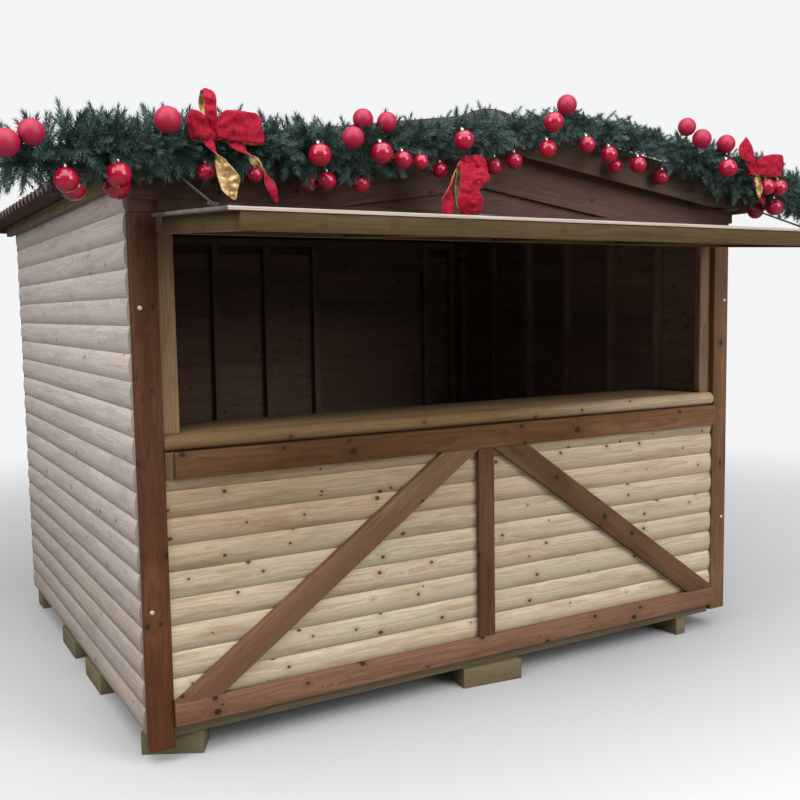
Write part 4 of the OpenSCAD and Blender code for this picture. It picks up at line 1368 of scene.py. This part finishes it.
def ribbon(name, stations, seed):
    """A wired ribbon: each station is its centre and its half-width vector."""
    rows = between(stations, STEPS)
    centres = [Vector(row[:3]) for row in rows]
    halves = [Vector(row[3:]) for row in rows]
    bm = bmesh.new()
    share = bm.verts.layers.float.new("across")
    ribbon_sheet(bm, centres, halves, share)
    crumple(bm, share, seed)
    made = finish_piece(bm, name, [VELVET, LINING, EDGE], replaces=["bows"], sharper=180)
    thick = made.modifiers.new("cloth", "SOLIDIFY")
    thick.thickness = RIBBON_T
    thick.offset = 0
    thick.material_offset = 1
    thick.material_offset_rim = 2


# %% [markdown]
# ## The three bows
#
# A bow's loops and tails fall where the tier pulled them, which no rule gives. So the
# stations below were set against the photograph, from the knot out and back.

# %% Stations of the loops and tails
RIBBONS = {
    # Left bow: upright loop, left loop, broad right loop, a gold tail and a red one
    "bow_a_upright": [
        (-1.290, -1.500, 2.262, -0.017, 0, 0), (-1.294, -1.514, 2.310, -0.020, 0, 0),
        (-1.295, -1.517, 2.350, -0.021, 0, 0), (-1.294, -1.512, 2.378, -0.021, 0, 0),
        (-1.292, -1.490, 2.402, -0.019, 0, 0), (-1.292, -1.466, 2.404, -0.019, 0, 0),
        (-1.292, -1.450, 2.370, -0.020, 0, 0), (-1.288, -1.456, 2.310, -0.019, 0, 0),
        (-1.284, -1.476, 2.262, -0.015, 0, 0)],
    "bow_a_left": [
        (-1.290, -1.500, 2.258, 0, 0, -0.018), (-1.316, -1.516, 2.276, 0, 0.006, -0.036),
        (-1.342, -1.514, 2.286, 0, 0.010, -0.045), (-1.359, -1.494, 2.288, 0, 0.006, -0.046),
        (-1.350, -1.470, 2.284, 0, 0, -0.042), (-1.320, -1.466, 2.272, 0, 0, -0.034),
        (-1.290, -1.480, 2.256, 0, 0, -0.018)],
    "bow_a_right": [
        (-1.280, -1.500, 2.270, 0, 0, 0.020), (-1.258, -1.522, 2.290, 0.004, -0.004, 0.044),
        (-1.215, -1.531, 2.289, 0, -0.004, 0.050), (-1.165, -1.534, 2.287, 0, 0, 0.051),
        (-1.128, -1.522, 2.287, -0.006, 0, 0.050), (-1.112, -1.496, 2.284, -0.004, 0, 0.046),
        (-1.140, -1.468, 2.285, 0, 0, 0.046), (-1.205, -1.462, 2.280, 0, 0, 0.040),
        (-1.275, -1.478, 2.268, 0, 0, 0.020)],
    "bow_a_tail_gold": [
        (-1.306, -1.506, 2.246, 0.014, 0, 0.010), (-1.294, -1.518, 2.216, 0.012, 0.004, 0.008),
        (-1.279, -1.522, 2.190, -0.002, 0.012, 0), (-1.258, -1.526, 2.152, -0.027, 0.008, 0),
        (-1.240, -1.528, 2.112, -0.037, 0.002, -0.006), (-1.234, -1.524, 2.078, -0.028, -0.004, -0.008),
        (-1.218, -1.516, 2.046, -0.003, 0, 0)],
    "bow_a_tail_red": [
        (-1.224, -1.506, 2.248, 0.016, 0, 0.010), (-1.198, -1.522, 2.222, 0.017, 0.004, 0.012),
        (-1.174, -1.526, 2.200, 0.002, 0.012, 0.004), (-1.150, -1.528, 2.178, -0.010, 0.006, -0.010),
        (-1.128, -1.528, 2.156, -0.002, 0.014, 0), (-1.104, -1.524, 2.122, 0.014, 0.008, 0.008),
        (-1.084, -1.520, 2.085, 0.015, 0, 0.008), (-1.066, -1.512, 2.046, 0.006, 0, 0.004)],
    # Middle bow: a broad hanging loop, a side loop and a short tail
    "bow_b_loop": [
        (-0.275, -1.500, 2.238, 0.030, 0, 0.004), (-0.262, -1.524, 2.205, 0.052, -0.002, 0.004),
        (-0.252, -1.534, 2.165, 0.066, -0.004, 0.004), (-0.278, -1.534, 2.125, 0.044, -0.002, 0),
        (-0.272, -1.530, 2.085, 0.060, 0, 0.002), (-0.262, -1.518, 2.048, 0.052, 0, 0.006),
        (-0.245, -1.500, 2.036, 0.036, 0, 0.006), (-0.258, -1.480, 2.070, 0.044, 0, 0),
        (-0.266, -1.474, 2.140, 0.040, 0, 0), (-0.272, -1.482, 2.225, 0.026, 0, 0)],
    "bow_b_side": [
        (-0.262, -1.500, 2.236, 0.004, 0, 0.016), (-0.232, -1.516, 2.238, 0.008, 0, 0.022),
        (-0.202, -1.514, 2.222, 0.016, 0.004, 0.020), (-0.182, -1.498, 2.188, 0.018, 0.008, 0.014),
        (-0.196, -1.480, 2.200, 0.016, 0.006, 0.018), (-0.228, -1.476, 2.224, 0.008, 0, 0.018),
        (-0.262, -1.484, 2.234, 0, 0, 0.014)],
    "bow_b_tail": [
        (-0.290, -1.500, 2.236, 0.012, 0, 0.008), (-0.325, -1.516, 2.205, 0.008, 0.006, 0.008),
        (-0.352, -1.524, 2.160, 0.007, 0.010, 0.004), (-0.366, -1.526, 2.118, 0.018, 0.010, 0.004),
        (-0.370, -1.522, 2.080, 0.030, 0.004, 0.002), (-0.365, -1.514, 2.030, 0.026, 0, -0.002)],
    # Right bow: a pointed end up, a broad loop, and a gold and a red tail
    "bow_c_point": [
        (1.322, -1.500, 2.290, -0.014, 0, -0.006), (1.302, -1.512, 2.330, -0.030, 0, -0.012),
        (1.264, -1.516, 2.370, -0.047, 0, -0.012), (1.262, -1.512, 2.402, -0.034, 0, -0.008),
        (1.276, -1.506, 2.434, -0.003, 0, 0)],
    "bow_c_loop": [
        (1.326, -1.500, 2.286, 0, 0, 0.020), (1.352, -1.524, 2.304, 0, -0.004, 0.040),
        (1.400, -1.533, 2.311, 0, -0.004, 0.048), (1.455, -1.533, 2.313, 0, 0, 0.052),
        (1.506, -1.518, 2.315, 0.006, 0, 0.050), (1.524, -1.492, 2.313, 0.006, 0, 0.044),
        (1.490, -1.468, 2.312, 0, 0, 0.046), (1.400, -1.464, 2.302, 0, 0, 0.042),
        (1.330, -1.480, 2.284, 0, 0, 0.020)],
    "bow_c_lower": [
        (1.330, -1.496, 2.272, 0.012, 0, 0.008), (1.340, -1.506, 2.232, 0.013, 0.002, 0.006),
        (1.368, -1.506, 2.186, 0.014, 0.002, 0.014), (1.402, -1.498, 2.160, 0.010, 0, 0.016),
        (1.434, -1.486, 2.148, 0.006, 0, 0.012)],
    "bow_c_tail": [
        (1.324, -1.504, 2.278, 0.014, 0, 0.008), (1.330, -1.520, 2.254, -0.004, 0.014, 0),
        (1.342, -1.526, 2.224, -0.015, 0.006, 0), (1.352, -1.524, 2.192, -0.016, 0.004, 0),
        (1.362, -1.516, 2.160, -0.003, 0, 0)],
}
for number, (name, stations) in enumerate(RIBBONS.items()):
    ribbon(name, stations, number + 1)

# %% [markdown]
# ## Knots
#
# Each bow is held by a short wrap of the same velvet. It is a ball squeezed upright, with
# pleats that a sine wave presses into it, because at this size a wound strip would only
# show its pleats.

# %% Bow knots
KNOT_Y = -1.492
KNOT_R = 0.024
PLEAT = 0.16
SQUEEZED = Matrix.Diagonal((0.8, 0.8, 1.1, 1))
KNOTS = [(-1.285, 2.260, 1.0), (-0.270, 2.236, 0.8), (1.326, 2.282, 0.9)]
for number, (x, z, size) in enumerate(KNOTS):
    middle = Vector((x, KNOT_Y, z))
    bm = bmesh.new()
    bmesh.ops.create_uvsphere(bm, u_segments=24, v_segments=14, radius=KNOT_R * size,
                              matrix=Matrix.Translation(middle) @ SQUEEZED)
    for vert in bm.verts:
        vert.co += (vert.co - middle) * PLEAT * math.sin(vert.co.x * 480 + vert.co.z * 60)
    finish_piece(bm, "bow_knot_%d" % number, VELVET, replaces=["bows"], sharper=180)
print("knots:", len(KNOTS))
